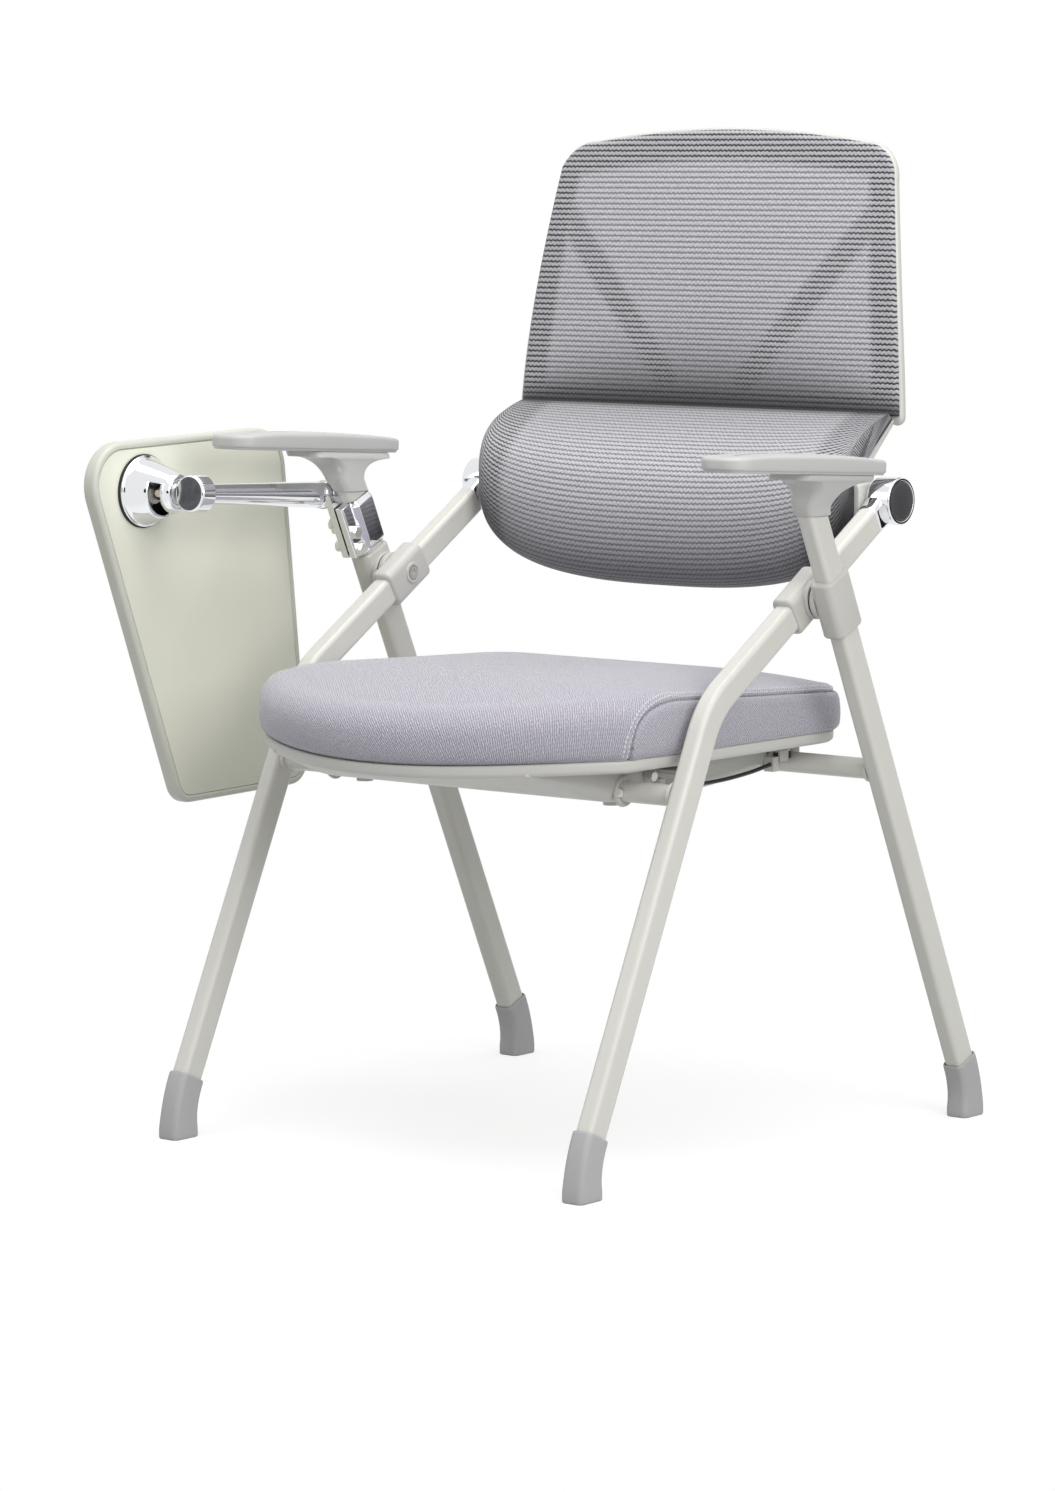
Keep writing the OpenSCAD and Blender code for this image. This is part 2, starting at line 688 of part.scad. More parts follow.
module stop_pin_rod(r) {
  translate([stop_pin_x, 0, 0]) rotate([90, 0, 0]) cylinder(r = r, h = stop_pin_out);
}
module stop_pin() { color("#cfc9b4") at_right() at_hub() stop_pin_rod(stop_pin_r); }

// Bell: a hollow cone that turns on the spindle, with a slot for the stop pin
gasket_t = 1.6;
bell_mouth_x = bell_reach - gasket_t;
bell_neck_r = 17.5;
bell_wall = 3;
bell_lip_t = 3;
bell_sleeve_l = spindle_l - 0.5;
slot_w = 12;
slot_spare = 28;
bell_screw_n = 3;
bell_screw_r = 2;
bell_screw_ring = 24;
flange_t = 2.5;
module bell_profile() {
  l = bell_mouth_x - bell_x0;
  polygon([[spindle_r + run_gap, 0], [bell_neck_r, 0], [bell_d / 2 - lip, l - bell_lip_t],
    [bell_d / 2, l - bell_lip_t], [bell_d / 2, l], [bell_screw_ring - 3 * lip, l],
    [bell_screw_ring - 3 * lip, l - flange_t], [bell_d / 2 - lip - bell_wall, l - flange_t],
    [bell_neck_r, bell_sleeve_l], [spindle_r + run_gap, bell_sleeve_l]]);
}
module bell_screw_rods(r, x0, x1) {
  for (i = [0:bell_screw_n - 1]) rotate([360 * i / bell_screw_n, 0, 0])
    translate([x0, 0, bell_screw_ring]) along_x() cylinder(r = r, h = x1 - x0);
}
module tablet_bell() {
  color("#d4d6da") at_right() at_hub() difference() {
    translate([bell_x0, 0, 0]) along_x() rotate_extrude() bell_profile();
    translate([stop_pin_x - stop_pin_r - run_gap, 0, 0]) along_x()
      rotate([0, 0, -90 - slot_spare]) rotate_extrude(angle = 180 + 2 * slot_spare)
        translate([spindle_r / 2, 0]) square([bell_d, slot_w]);
    bell_screw_rods(bell_screw_r, 0, 2 * bell_reach);
  }
}
module bell_gasket() {
  color("#2c2c2e") at_right() at_hub() difference() {
    translate([bell_mouth_x, 0, 0]) along_x() cylinder(r = bell_d / 2 + cut, h = gasket_t);
    translate([bell_mouth_x - cut, 0, 0]) along_x()
      cylinder(r = bell_screw_ring - 2 * lip, h = gasket_t + 2 * cut);
    bell_screw_rods(bell_screw_r, 0, 2 * bell_reach);
  }
}
bell_screw_l = 9;
module bell_screws() {
  color("#9a9a98") at_right() at_hub() {
    bell_screw_rods(bell_screw_r, bell_mouth_x - flange_t, bell_mouth_x + bell_screw_l);
    bell_screw_rods(1.6 * bell_screw_r, bell_mouth_x - flange_t - lip, bell_mouth_x - flange_t);
  }
}

// Tablet: a board in a soft rim. Its outline is [y, z] from the swivel axis
tablet_fore = 88;
tablet_rise = 47;
tablet_skew = 139;
tablet_lift = 8;
top_corner_r = 42;
low_corner_r = 24;
function tablet_corners(i) =
  [[-tablet_fore + i, tablet_rise - i],
   [-tablet_fore + tablet_top_w - i, tablet_rise + tablet_lift - i],
   [-tablet_fore + tablet_skew + tablet_low_w - i, tablet_rise + tablet_lift - tablet_h + i],
   [-tablet_fore + tablet_skew + i, tablet_rise - tablet_h + tablet_lift / 2 + i]];
function tablet_outline(i) =
  rounded(tablet_corners(i), [top_corner_r - i, top_corner_r - i, low_corner_r - i,
    low_corner_r - i], 10);
module tablet_plate(i, t) { side_plate(bell_reach, bell_reach + t) polygon(tablet_outline(i)); }
panel_sink = 1;
module tablet_rim() {
  color("#d6d6ca") at_right() at_hub() difference() {
    tablet_plate(0, tablet_t);
    translate([-cut, 0, 0]) tablet_plate(rim_w, tablet_t + 2 * cut);
  }
}
module tablet_board() {
  color("#c6c7b8") at_right() at_hub() difference() {
    tablet_plate(rim_w, tablet_t - panel_sink);
    bell_screw_rods(bell_screw_r, 0, bell_mouth_x + bell_screw_l);
  }
}

// Seat outline: a bowed front, straight sides and rounded rear corners
seat_half = seat_w / 2;
seat_corner_x = seat_half - 4;
nose_rise = seat_nose - seat_corner;
nose_r = (seat_corner_x * seat_corner_x + nose_rise * nose_rise) / (2 * nose_rise);
nose_turn = asin(seat_corner_x / nose_r);
rear_corner_r = 46;
seat_front_n = 9;
seat_side_n = 6;
seat_rear_n = 7;
function half_outline() = concat(
  [for (i = [0:seat_front_n]) let (a = nose_turn * i / seat_front_n)
    [nose_r * sin(a), -seat_nose + nose_r * (1 - cos(a))]],
  [for (i = [1:seat_side_n]) let (t = i / (seat_side_n + 1))
    [seat_half, -seat_corner + t * (seat_rear - rear_corner_r + seat_corner)]],
  arc([seat_half - rear_corner_r, seat_rear - rear_corner_r], rear_corner_r, 0, 90, seat_rear_n));
function seat_outline() =
  let (h = half_outline(), n = len(h))
  concat(h, [for (i = [n - 1:-1:1]) [-h[i][0], h[i][1]]]);
seat_mid_y = (seat_rear - seat_nose) / 2;
function drawn_in(p, d) =
  let (k = 1 - d / seat_half) [p[0] * k, seat_mid_y + (p[1] - seat_mid_y) * k];

// Cushion: rings from the lower edge, over the side seam, to the crown
seam_y = -134;
seam_fall = 0.047;
nose_drop = 12;
function front_share(y) = max(0, min(1, (seam_y - y) / (seam_y + seat_nose)));
function seam_h(y) = seat_seam_h - seam_fall * max(0, y - seam_y) - nose_drop * pow(front_share(y), 2);
ring_up_share = [0, 0.1, 0.35, 0.62, 0.82, 0.94, 1];
ring_in_share = [0.2, 0.05, 0, 0.06, 0.25, 0.55, 1];
side_round = 15;
nose_round = 42;
crown_scale_share = [0.84, 0.64, 0.4, 0.18];
function ring_point(p, j) =
  let (f = front_share(p[1]), d = ring_in_share[j] * (side_round + (nose_round - side_round) * f),
       q = drawn_in(p, d))
  [q[0], q[1], seat_base_h + soft_gap
     + ring_up_share[j] * (seam_h(p[1]) - seat_base_h - soft_gap)];
function crown_point(p, k) =
  let (f = front_share(p[1]), r = ring_point(p, len(ring_up_share) - 1), e = crown_scale_share[k],
       y = seat_mid_y + (r[1] - seat_mid_y) * e)
  [r[0] * e, y, seam_h(p[1]) * e * e + seam_h(seat_mid_y) * (1 - e * e)
     + seat_crown * (1 - pow(e, 4))];
module seat_cushion() {
  o = seat_outline();
  n = len(o);
  m = len(ring_up_share);
  c = len(crown_scale_share);
  pts = concat(
    [for (j = [0:m - 1], i = [0:n - 1]) ring_point(o[i], j)],
    [for (k = [0:c - 1], i = [0:n - 1]) crown_point(o[i], k)],
    [[0, seat_mid_y, seam_h(seat_mid_y) + seat_crown], [0, seat_mid_y, seat_base_h + soft_gap]]);
  rings = m + c;
  faces = concat(
    [for (j = [0:rings - 2], i = [0:n - 1]) [j * n + i, (j + 1) * n + i, j * n + (i + 1) % n]],
    [for (j = [0:rings - 2], i = [0:n - 1])
      [(j + 1) * n + i, (j + 1) * n + (i + 1) % n, j * n + (i + 1) % n]],
    [for (i = [0:n - 1]) [(rings - 1) * n + i, rings * n, (rings - 1) * n + (i + 1) % n]],
    [for (i = [0:n - 1]) [i, (i + 1) % n, rings * n + 1]]);
  color("#b4b1bf") at_mid() polyhedron(pts, faces);
}

// Pan: a tray under the cushion with a hollow belly that hangs on the front crossbar
tray_h = seat_base_h - tray_t;
tray_in = 5;
board_in = 12;
belly_wall = 4;
belly_low_h = front_bar_h - bar_r - lip;
belly_nose = -252;
belly_front_y = -150;
belly_rear_y = 96;
belly_rear_h = rear_bar_h - 2 * lip;
cradle_y = 147;
cradle_h = rear_bar_h - lip;
bar_clear = 1.4;
slot_clear = 1;
slot_lean = 16;
seat_screw_in = 30;
seat_screw_x = seat_half - seat_screw_in;
seat_screw_y = [-80, 60];
seat_screw_r = 2.5;
seat_screw_head_r = 5;
seat_screw_head_h = 3;
pivot_boss_r = 15;
pivot_boss_w = 9;
module tray_plate(d, z0, z1) {
  translate([0, 0, z0]) linear_extrude(z1 - z0)
    polygon([for (p = seat_outline()) drawn_in(p, d)]);
}
function belly_side(d) =
  let (top = d > 0 ? seat_base_h - board_t + cut : tray_h + cut)
  [[belly_nose + 4 * d, top], [belly_front_y + d / 2, belly_low_h + d],
   [0, belly_low_h + d], [belly_rear_y - d, belly_rear_h + d], [belly_rear_y - d, top]];
module belly_wall_plate() {
  difference() {
    union() {
      side_plate(belly_half - belly_wall, belly_half)
        polygon([[belly_rear_y - belly_wall, cradle_h], [cradle_y, cradle_h],
          [cradle_y, tray_h + cut], [belly_rear_y - belly_wall, tray_h + cut]]);
      rod_x(front_bar, pivot_boss_r, belly_half - pivot_boss_w, belly_half);
    }
    rod_x(rear_bar, bar_r + bar_clear, 0, seat_half);
    translate([0, rear_bar[0], rear_bar[1]]) rotate([-slot_lean, 0, 0])
      translate([0, -bar_r - slot_clear, -tray_h])
        cube([seat_half, bar_d + 2 * slot_clear, tray_h]);
  }
}
module seat_screw_rods(r, z0, z1) {
  for (s = [-1, 1], y = seat_screw_y) translate([s * seat_screw_x, y, z0])
    cylinder(r = r, h = z1 - z0);
}
lever_y = -98;
lever_drop = 13;
lever_h = tray_h - lever_drop;
lever_pin_r = 2.5;
module seat_pan() {
  color("#c4c2bc") at_mid() difference() {
    union() {
      tray_plate(tray_in, tray_h, seat_base_h);
      intersection() {
        side_plate(-belly_half, belly_half) polygon(belly_side(0));
        tray_plate(tray_in + lip, belly_low_h - cut, seat_base_h - lip);
      }
      belly_wall_plate();
      mirror([1, 0, 0]) belly_wall_plate();
    }
    tray_plate(board_in, seat_base_h - board_t, seat_base_h + cut);
    side_plate(-belly_half + pivot_boss_w, belly_half - pivot_boss_w) polygon(belly_side(belly_wall));
    rod_x(front_bar, bar_r + run_gap, -seat_half, seat_half);
    seat_screw_rods(seat_screw_r, belly_low_h, seat_base_h);
    rod_x([lever_y, lever_h], lever_pin_r, 0, seat_half);
  }
}
module seat_board() {
  color("#b99a6b") at_mid() difference() {
    tray_plate(board_in, seat_base_h - board_t, seat_base_h);
    seat_screw_rods(seat_screw_r, belly_low_h, seat_base_h - lip);
  }
}
module seat_screws() {
  color("#9a9a98") at_mid() {
    seat_screw_rods(seat_screw_r, tray_h, seat_base_h - lip);
    seat_screw_rods(seat_screw_head_r, tray_h - seat_screw_head_h, tray_h);
  }
}
bumper_in = 24;
bumper_x = belly_half - bumper_in;
bumper_y = -120;
bumper_r = 8;
bumper_h = 4;
module seat_bumpers() {
  color("#8c8c8e") at_mid() for (s = [-1, 1])
    translate([s * bumper_x, bumper_y, belly_low_h - bumper_h]) cylinder(r = bumper_r, h = bumper_h);
}

// Release: a paddle by the front crossbar, a cable along the pan and a pawl at the rear bar
cable_r = 2;
cable_out = 7;
cable_x = belly_half + cable_out;
cable_sides = 8;
cable_run = [[-84, -2], [-70, -4], [-40, -6], [-8, -6.5], [24, -5.5], [56, -3], [76, -0.5], [88, 1.5]];
cable_points = [for (p = cable_run) [cable_x, p[0], rear_bar_h + p[1]]];
anchor_l = 8;
anchor_up = 7;
module sweep(points, r, sides) {
  n = len(points);
  function tangent(i) = let (d = points[min(i + 1, n - 1)] - points[max(i - 1, 0)]) d / norm(d);
  pts = [for (i = [0:n - 1]) let (t = tangent(i), u = [1, 0, 0], v = cross(t, u))
    for (k = [0:sides - 1]) let (a = 360 * k / sides)
      points[i] + r * (cos(a) * u + sin(a) * v / norm(v))];
  polyhedron(pts, concat(
    [for (i = [0:n - 2], k = [0:sides - 1])
      [i * sides + k, i * sides + (k + 1) % sides, (i + 1) * sides + k]],
    [for (i = [0:n - 2], k = [0:sides - 1])
      [(i + 1) * sides + k, i * sides + (k + 1) % sides, (i + 1) * sides + (k + 1) % sides]],
    [[for (k = [sides - 1:-1:0]) k]], [[for (k = [0:sides - 1]) (n - 1) * sides + k]]));
}
module cable() { color("#1c1c1e") at_left() sweep(cable_points, cable_r, cable_sides); }
cable_front = cable_points[0];
cable_rear = cable_points[len(cable_points) - 1];
anchor_w = cable_x - belly_half + cable_r + lip;
module anchor(p, y0) {
  translate([belly_half, y0, p[2] - anchor_up]) cube([anchor_w, anchor_l, 2 * anchor_up]);
}
module cable_anchors() {
  color("#c4c2bc") at_left() {
    anchor(cable_front, cable_front[1] - anchor_l);
    anchor(cable_rear, cable_rear[1]);
  }
}
pawl_w = 6;
pawl_t = 7;
pawl_y0 = 100;
pawl_low_h = rear_bar_h + 5;
pawl_tip_y = rear_bar[0] - bar_r + 1.2;
guide_wall = 2;
guide_l = 14;
pawl_x = belly_half + guide_wall;
module latch_guide() {
  color("#c4c2bc") at_left() difference() {
    translate([belly_half, pawl_y0, pawl_low_h - guide_wall])
      cube([pawl_w + 2 * guide_wall, guide_l, pawl_t + 2 * guide_wall]);
    translate([pawl_x - run_gap, pawl_y0 - cut, pawl_low_h - run_gap])
      cube([pawl_w + 2 * run_gap, guide_l + 2 * cut, pawl_t + 2 * run_gap]);
  }
}
module latch_pawl() {
  color("#8a8a8c") at_left() translate([pawl_x, pawl_y0, pawl_low_h])
    cube([pawl_w, pawl_tip_y - pawl_y0, pawl_t]);
}
lever_hub_r = 6;
lever_hub_w = 7;
paddle_l = 44;
paddle_w = 34;
paddle_t = 4;
lever_x = belly_half + soft_gap;
module release_lever() {
  color("#b4b4b2") at_left() difference() {
    union() {
      rod_x([lever_y, lever_h], lever_hub_r, lever_x, lever_x + lever_hub_w);
      translate([lever_x, lever_y, lever_h + lever_hub_r - paddle_t]) {
        cube([lever_hub_w, paddle_l, paddle_t]);
        translate([0, lever_hub_r, 0]) cube([paddle_w, paddle_l - lever_hub_r, paddle_t]);
      }
    }
    rod_x([lever_y, lever_h], lever_pin_r + run_gap, belly_half - cut, belly_half + paddle_w);
  }
}
module lever_pin() {
  color("#9a9a98") at_left() {
    rod_x([lever_y, lever_h], lever_pin_r, belly_half - belly_wall, lever_x + lever_hub_w + soft_gap);
    rod_x([lever_y, lever_h], lever_pin_r + lip, lever_x + lever_hub_w + soft_gap,
      lever_x + lever_hub_w + soft_gap + lip);
  }
}

// Back frame: a plate behind the lumbar roll that steps back into a curved panel of rails
panel_centre = [panel_foot_y + panel_curve_r * cos(back_lean),
                panel_foot_h - panel_curve_r * sin(back_lean)];
panel_n = 12;
panel_end_h = panel_top_h + back_arch + lip;
function panel_at(z, o) =
  let (a = asin((z - panel_centre[1]) / panel_curve_r))
  panel_centre + (panel_curve_r - o) * [-cos(a), sin(a)];
function panel_line(o, z0) =
  [for (i = [0:panel_n]) panel_at(z0 + (panel_end_h - z0) * i / panel_n, o)];
step_mid_in = 32;
step_mid_drop = 30;
step_low_in = 61;
step_low_drop = 56;
plate_mid_drop = 84;
plate_low_in = 51;
plate_low_drop = 163;
step_mid = [panel_foot_y - step_mid_in, panel_foot_h - step_mid_drop];
step_low = [panel_foot_y - step_low_in, panel_foot_h - step_low_drop];
plate_mid_h = panel_foot_h - plate_mid_drop;
plate_low = [panel_foot_y - plate_low_in, panel_foot_h - plate_low_drop];
plate_t = 8;
function plate_front() = [plate_low, [step_low[0], plate_mid_h], step_low, step_mid];
function plate_rear() = [step_mid + [rail_t, -lip], step_low + [plate_t, -lip],
  [step_low[0] + plate_t, plate_mid_h], plate_low + [plate_t, 0]];
function reversed(v) = [for (i = [len(v) - 1:-1:0]) v[i]];
module back_side() {
  polygon(concat(plate_front(), panel_line(0, panel_foot_h), reversed(panel_line(rail_t, panel_foot_h - 2 * lip)),
    plate_rear()));
}
side_n = 8;
corner_turn = 80;
side_pow = 1.33;
panel_rise = panel_top_h - panel_foot_h;
function panel_half(z) =
  panel_half_w - (panel_half_w - back_top_half_w) * pow(max(0, z - panel_foot_h) / panel_rise, side_pow);
function panel_edge(i, z0) =
  let (top = panel_top_h - i, r = max(back_corner_r - i, lip))
  concat([for (k = [0:side_n]) let (z = z0 + (top - r - z0) * k / side_n) [panel_half(z) - i, z]],
    arc([panel_half(top - r) - i - r, top - r], r, 0, corner_turn, 7),
    [for (k = [1:5]) let (e = 1 - k / 5, x = (panel_half(top - r) - i - r) * e)
      [x, top + back_arch * (1 - e * e)]]);
function both_sides(e) =
  concat(e, [for (k = [len(e) - 2:-1:0]) [-e[k][0], e[k][1]]]);
plate_corner_r = 18;
plate_turn = 60;
low_rail_up = 32;
low_rail_top_h = panel_foot_h + low_rail_up;
function frame_edge() =
  concat([[back_half_w - plate_corner_r, plate_low[1]]],
    arc([back_half_w - plate_corner_r, plate_low[1] + plate_corner_r], plate_corner_r, -plate_turn, 0, 3),
    [[back_half_w, step_mid[1]]], panel_edge(0, panel_foot_h));
// A front-view outline, with X across and Z up, cut from the whole depth of the back
module front_plate() {
  translate([0, 2 * panel_foot_y, 0]) rotate([90, 0, 0]) linear_extrude(2 * panel_foot_y) children();
}
strut_low_x = 49;
strut_top_in = 36;
strut_top_x = panel_half_w - strut_top_in;
strut_top_drop = 62;
strut_top_h = panel_top_h - strut_top_drop;
module strut(s) {
  w = [strut_w / 2, 0];
  a = [s * strut_low_x, low_rail_top_h - cut];
  b = [s * strut_top_x, strut_top_h];
  polygon([a - w, a + w, b + w, b - w]);
}
hinge_boss_r = 17;
boss_w = 26;
boss_side_gap = 0.4;
boss_out_x = front_x - tube_w / 2 - boss_side_gap;
boss_in_x = boss_out_x - boss_w;
bush_wall = 1.5;
module back_frame() {
  color("#c6c5bf") at_mid() difference() {
    union() {
      intersection() {
        side_plate(-panel_half_w - cut, panel_half_w + cut) back_side();
        front_plate() difference() {
          polygon(both_sides(frame_edge()));
          difference() {
            polygon(both_sides(panel_edge(rail_w, low_rail_top_h)));
            strut(1);
            strut(-1);
          }
        }
      }
      for (s = [0, 1]) mirror([s, 0, 0]) {
        rod_x(hinge, hinge_boss_r, boss_in_x, boss_out_x);
        side_plate(boss_in_x, back_half_w) polygon([[step_low[0] + lip, hinge[1] - hinge_boss_r],
          [hinge[0], hinge[1] - hinge_boss_r], [hinge[0], hinge[1] + hinge_boss_r],
          [step_low[0] + lip, hinge[1] + hinge_boss_r]]);
      }
    }
    for (s = [0, 1]) mirror([s, 0, 0])
      rod_x(hinge, hinge_pin_r + bush_wall, boss_in_x - cut, boss_out_x + cut);
  }
}
module back_bushes() {
  color("#3a3a3c") at_both() difference() {
    rod_x(hinge, hinge_pin_r + bush_wall, boss_in_x, boss_out_x);
    rod_x(hinge, hinge_pin_r + run_gap, boss_in_x - cut, boss_out_x + cut);
  }
}
module back_hinge_pins() {
  color("#9a9a98") at_both() rod_x(hinge, hinge_pin_r, boss_in_x + lip, barrel_out_x - cap_sink);
}
mesh_t = 3;
mesh_in = 3;
module back_mesh() {
  color("#8f8f99") at_mid() intersection() {
    side_plate(-panel_half_w - cut, panel_half_w + cut)
      polygon(concat(panel_line(0, panel_foot_h), reversed(panel_line(-mesh_t, panel_foot_h))));
    front_plate() polygon(both_sides(panel_edge(mesh_in, panel_foot_h)));
  }
}

// Lumbar roll: sections across the back that bulge forward and draw in at both ends
roll_half = back_half_w - 5;
roll_cols = 18;
roll_drop = 170;
roll_low_h = panel_foot_h - roll_drop;
roll_fore_y = step_low[0] - roll_depth;
roll_top_h = panel_foot_h + 4;
roll_top_y = panel_foot_y - 3 * mesh_t;
roll_up_share = [0, 0.02, 0.08, 0.19, 0.34, 0.5, 0.65, 0.78, 0.89, 0.96, 1];
roll_back_share = [0.9, 0.56, 0.23, 0.05, 0, 0.02, 0.11, 0.3, 0.58, 0.82, 1];
roll_low_rows = 4;
roll_end_back = 30;
roll_end_rise = 52;
roll_end_pow = 3;
roll_skin_y = step_low[0] - 1;
function roll_end(e) = 1 - pow(1 - pow(min(1, e), roll_end_pow), 1 / roll_end_pow);
function roll_low(e) = roll_low_h + roll_end_rise * e;
function roll_front(x, k) =
  let (e = roll_end(abs(x) / roll_half), y = roll_fore_y + roll_end_back * e,
       to = k < roll_low_rows ? roll_skin_y : roll_top_y)
  [x, y + roll_back_share[k] * (to - y),
   roll_low(e) + roll_up_share[k] * (roll_top_h - roll_low(e))];
function roll_rear(x, k) =
  let (e = roll_end(abs(x) / roll_half))
  k == 0 ? [x, panel_foot_y - mesh_t / 2 - cut, panel_foot_h - lip]
  : k == 1 ? [x, step_mid[0] - cut, step_mid[1] + lip]
  : k == 2 ? [x, roll_skin_y, step_low[1] + cut]
  : k == 3 ? [x, roll_skin_y, plate_mid_h]
  : [x, roll_skin_y + cut, roll_low(e)];
module lumbar_pad() {
  m = len(roll_up_share);
  s = m + 5;
  n = 2 * roll_cols;
  pts = [for (i = [0:n]) let (x = roll_half * sin(90 * (i / roll_cols - 1)))
    for (k = [0:s - 1]) k < m ? roll_front(x, k) : roll_rear(x, k - m)];
  faces = concat(
    [for (i = [0:n - 1], k = [0:s - 1]) [i * s + k, (i + 1) * s + k, i * s + (k + 1) % s]],
    [for (i = [0:n - 1], k = [0:s - 1])
      [(i + 1) * s + k, (i + 1) * s + (k + 1) % s, i * s + (k + 1) % s]],
    [[for (k = [0:s - 1]) k]], [[for (k = [s - 1:-1:0]) n * s + k]]);
  color("#a3a3ad") at_mid() polyhedron(pts, faces);
}

front_tube_left();
front_tube_right();
front_crossbar();
front_bar_screws();
front_foot_left();
front_foot_right();
front_housing_left();
front_housing_right();
back_bracket_left();
back_bracket_right();
bracket_caps();
back_hinge_pins();
rear_tube_left();
rear_tube_right();
rear_crossbar();
rear_foot_left();
rear_foot_right();
rear_housing_left();
rear_housing_right();
fold_bolts();
fold_inserts();
arm_support_left();
arm_support_right();
arm_pad_left();
arm_pad_right();
pad_screws();
clamp_inner();
clamp_outer();
clamp_bolts();
clamp_nuts();
tablet_arm();
arm_nut();
swivel_spindle();
spindle_screw();
stop_pin();
tablet_bell();
bell_gasket();
tablet_board();
tablet_rim();
bell_screws();
seat_pan();
seat_board();
seat_cushion();
seat_screws();
seat_bumpers();
cable();
cable_anchors();
latch_guide();
latch_pawl();
release_lever();
lever_pin();
back_frame();
back_mesh();
lumbar_pad();
back_bushes();
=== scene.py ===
# %% [markdown]
# # A folding training chair with a writing tablet
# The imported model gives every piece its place, so the scene starts from it and dresses it.
# The chair's own lengths are in millimetres, measured from its middle plane, and the helper that
# makes a piece turns them into metres. Textures, the camera and the studio are in metres.

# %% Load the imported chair
import math
import bmesh
import bpy
import numpy as np
from mathutils import Matrix, Vector


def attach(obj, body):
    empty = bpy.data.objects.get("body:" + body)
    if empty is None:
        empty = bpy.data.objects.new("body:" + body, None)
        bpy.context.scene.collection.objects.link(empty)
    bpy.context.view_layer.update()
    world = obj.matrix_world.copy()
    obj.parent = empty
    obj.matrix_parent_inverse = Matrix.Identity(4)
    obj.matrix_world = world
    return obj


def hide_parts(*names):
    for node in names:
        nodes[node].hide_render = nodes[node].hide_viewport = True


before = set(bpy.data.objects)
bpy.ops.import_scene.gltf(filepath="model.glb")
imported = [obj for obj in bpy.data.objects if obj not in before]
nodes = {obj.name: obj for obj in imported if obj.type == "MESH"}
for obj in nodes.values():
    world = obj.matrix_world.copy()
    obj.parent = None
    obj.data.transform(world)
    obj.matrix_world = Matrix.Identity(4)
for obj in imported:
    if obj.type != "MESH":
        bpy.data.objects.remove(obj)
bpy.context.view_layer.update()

# The chair's middle plane lies this far along +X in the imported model.
MIDDLE = 33.0
MM_IN_METRE = 1000.0
ALONG_X = [1, 0, 0]

# %% [markdown]
# The camera stands where the photographer stood: five metres away, to the chair's front left, a
# little above the arm pads. A short lens close by would make the near leg look too large, while a
# long lens at this distance gives the flat look of a catalogue shot. Its axes are written down as
# they were fitted to the chair's parallel lines, so nothing has to be aimed.

# %% The photograph's camera
eye = Vector((3.073385, -3.883448, 0.937024))
right = Vector((0.782958, 0.622074, 0.0))
up = Vector((-0.071084, 0.089468, 0.99345))
camera = bpy.data.objects.new("camera", bpy.data.cameras.new("camera"))
bpy.context.scene.collection.objects.link(camera)
camera.matrix_world = Matrix((*zip(right, up, right.cross(up), eye), (0, 0, 0, 1)))
camera.data.lens = 124.35
camera.data.sensor_width = 36
bpy.context.scene.camera = camera
bpy.context.scene.view_settings.view_transform = "Standard"
print("camera", round(eye.length, 2), "m away, lens", round(camera.data.lens, 1), "mm")

# %% [markdown]
# Most pieces of the chair are skins: rows of points, each row a closed ring, joined by quads.
# They could be pulled out of cubes by hand, but a formula can be read, changed and trusted. The
# helpers below join rings into a skin, close its ends, and turn one or more skins into an object
# that rides on the right body.

# %% Skins from rings
def ring_quads(rows, cols, closed=True):
    """Quads between each row and the next; closed also joins the last column to the first."""
    i = np.arange(rows - 1)[:, None]
    j = np.arange(cols if closed else cols - 1)[None, :]
    k = (j + 1) % cols
    return np.stack([i * cols + j, i * cols + k, (i + 1) * cols + k, (i + 1) * cols + j],
                    -1).reshape(-1, 4)


def skin(rings, ends=True):
    """A skin over rings (rows, points, 3). Each end is closed by one flat face over its ring."""
    rings = np.asarray(rings, float)
    rows, cols = rings.shape[:2]
    faces = ring_quads(rows, cols).tolist()
    if ends:
        faces += [list(range(cols))[::-1], list(range((rows - 1) * cols, rows * cols))]
    return rings.reshape(-1, 3), faces


def flip(part):
    """The same skin on the other side of the chair's middle."""
    points, faces = part
    return points * np.array([-1, 1, 1]), faces


# %% From skins to a piece on its body
WELD_WITHIN = 2e-6


def piece(name, parts, body, finish, stands_for=(), sharp=38, weld=True, fields=None):
    """One object from skins in millimetres: joined, welded, turned outwards and shaded.

    An edge stays sharp past the angle sharp, in degrees. Fields are vectors for each point.
    Without weld, points that lie in one place aren't joined.
    """
    points, faces, start = [], [], 0
    for part_points, part_faces in parts:
        points.append(part_points)
        faces += [[start + v for v in f] for f in part_faces]
        start += len(part_points)
    points = (np.vstack(points) + [MIDDLE, 0, 0]) / MM_IN_METRE
    mesh = bpy.data.meshes.new(name)
    mesh.from_pydata(points.tolist(), [], faces)
    for field, values in (fields or {}).items():
        layer = mesh.attributes.new(field, "FLOAT_VECTOR", "POINT")
        layer.data.foreach_set("vector", np.asarray(values, np.float32).ravel())
    obj = bpy.data.objects.new(name, mesh)
    bpy.context.scene.collection.objects.link(obj)
    bm = bmesh.new()
    bm.from_mesh(mesh)
    if weld:
        bmesh.ops.remove_doubles(bm, verts=bm.verts, dist=WELD_WITHIN)
    bmesh.ops.recalc_face_normals(bm, faces=bm.faces)
    bm.to_mesh(mesh)
    bm.free()
    mesh.shade_smooth()
    mesh.set_sharp_from_angle(angle=math.radians(sharp))
    mesh.materials.append(finish)
    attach(obj, body)
    if stands_for:
        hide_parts(*stands_for)
    print(name, len(mesh.polygons), "faces")
    return obj


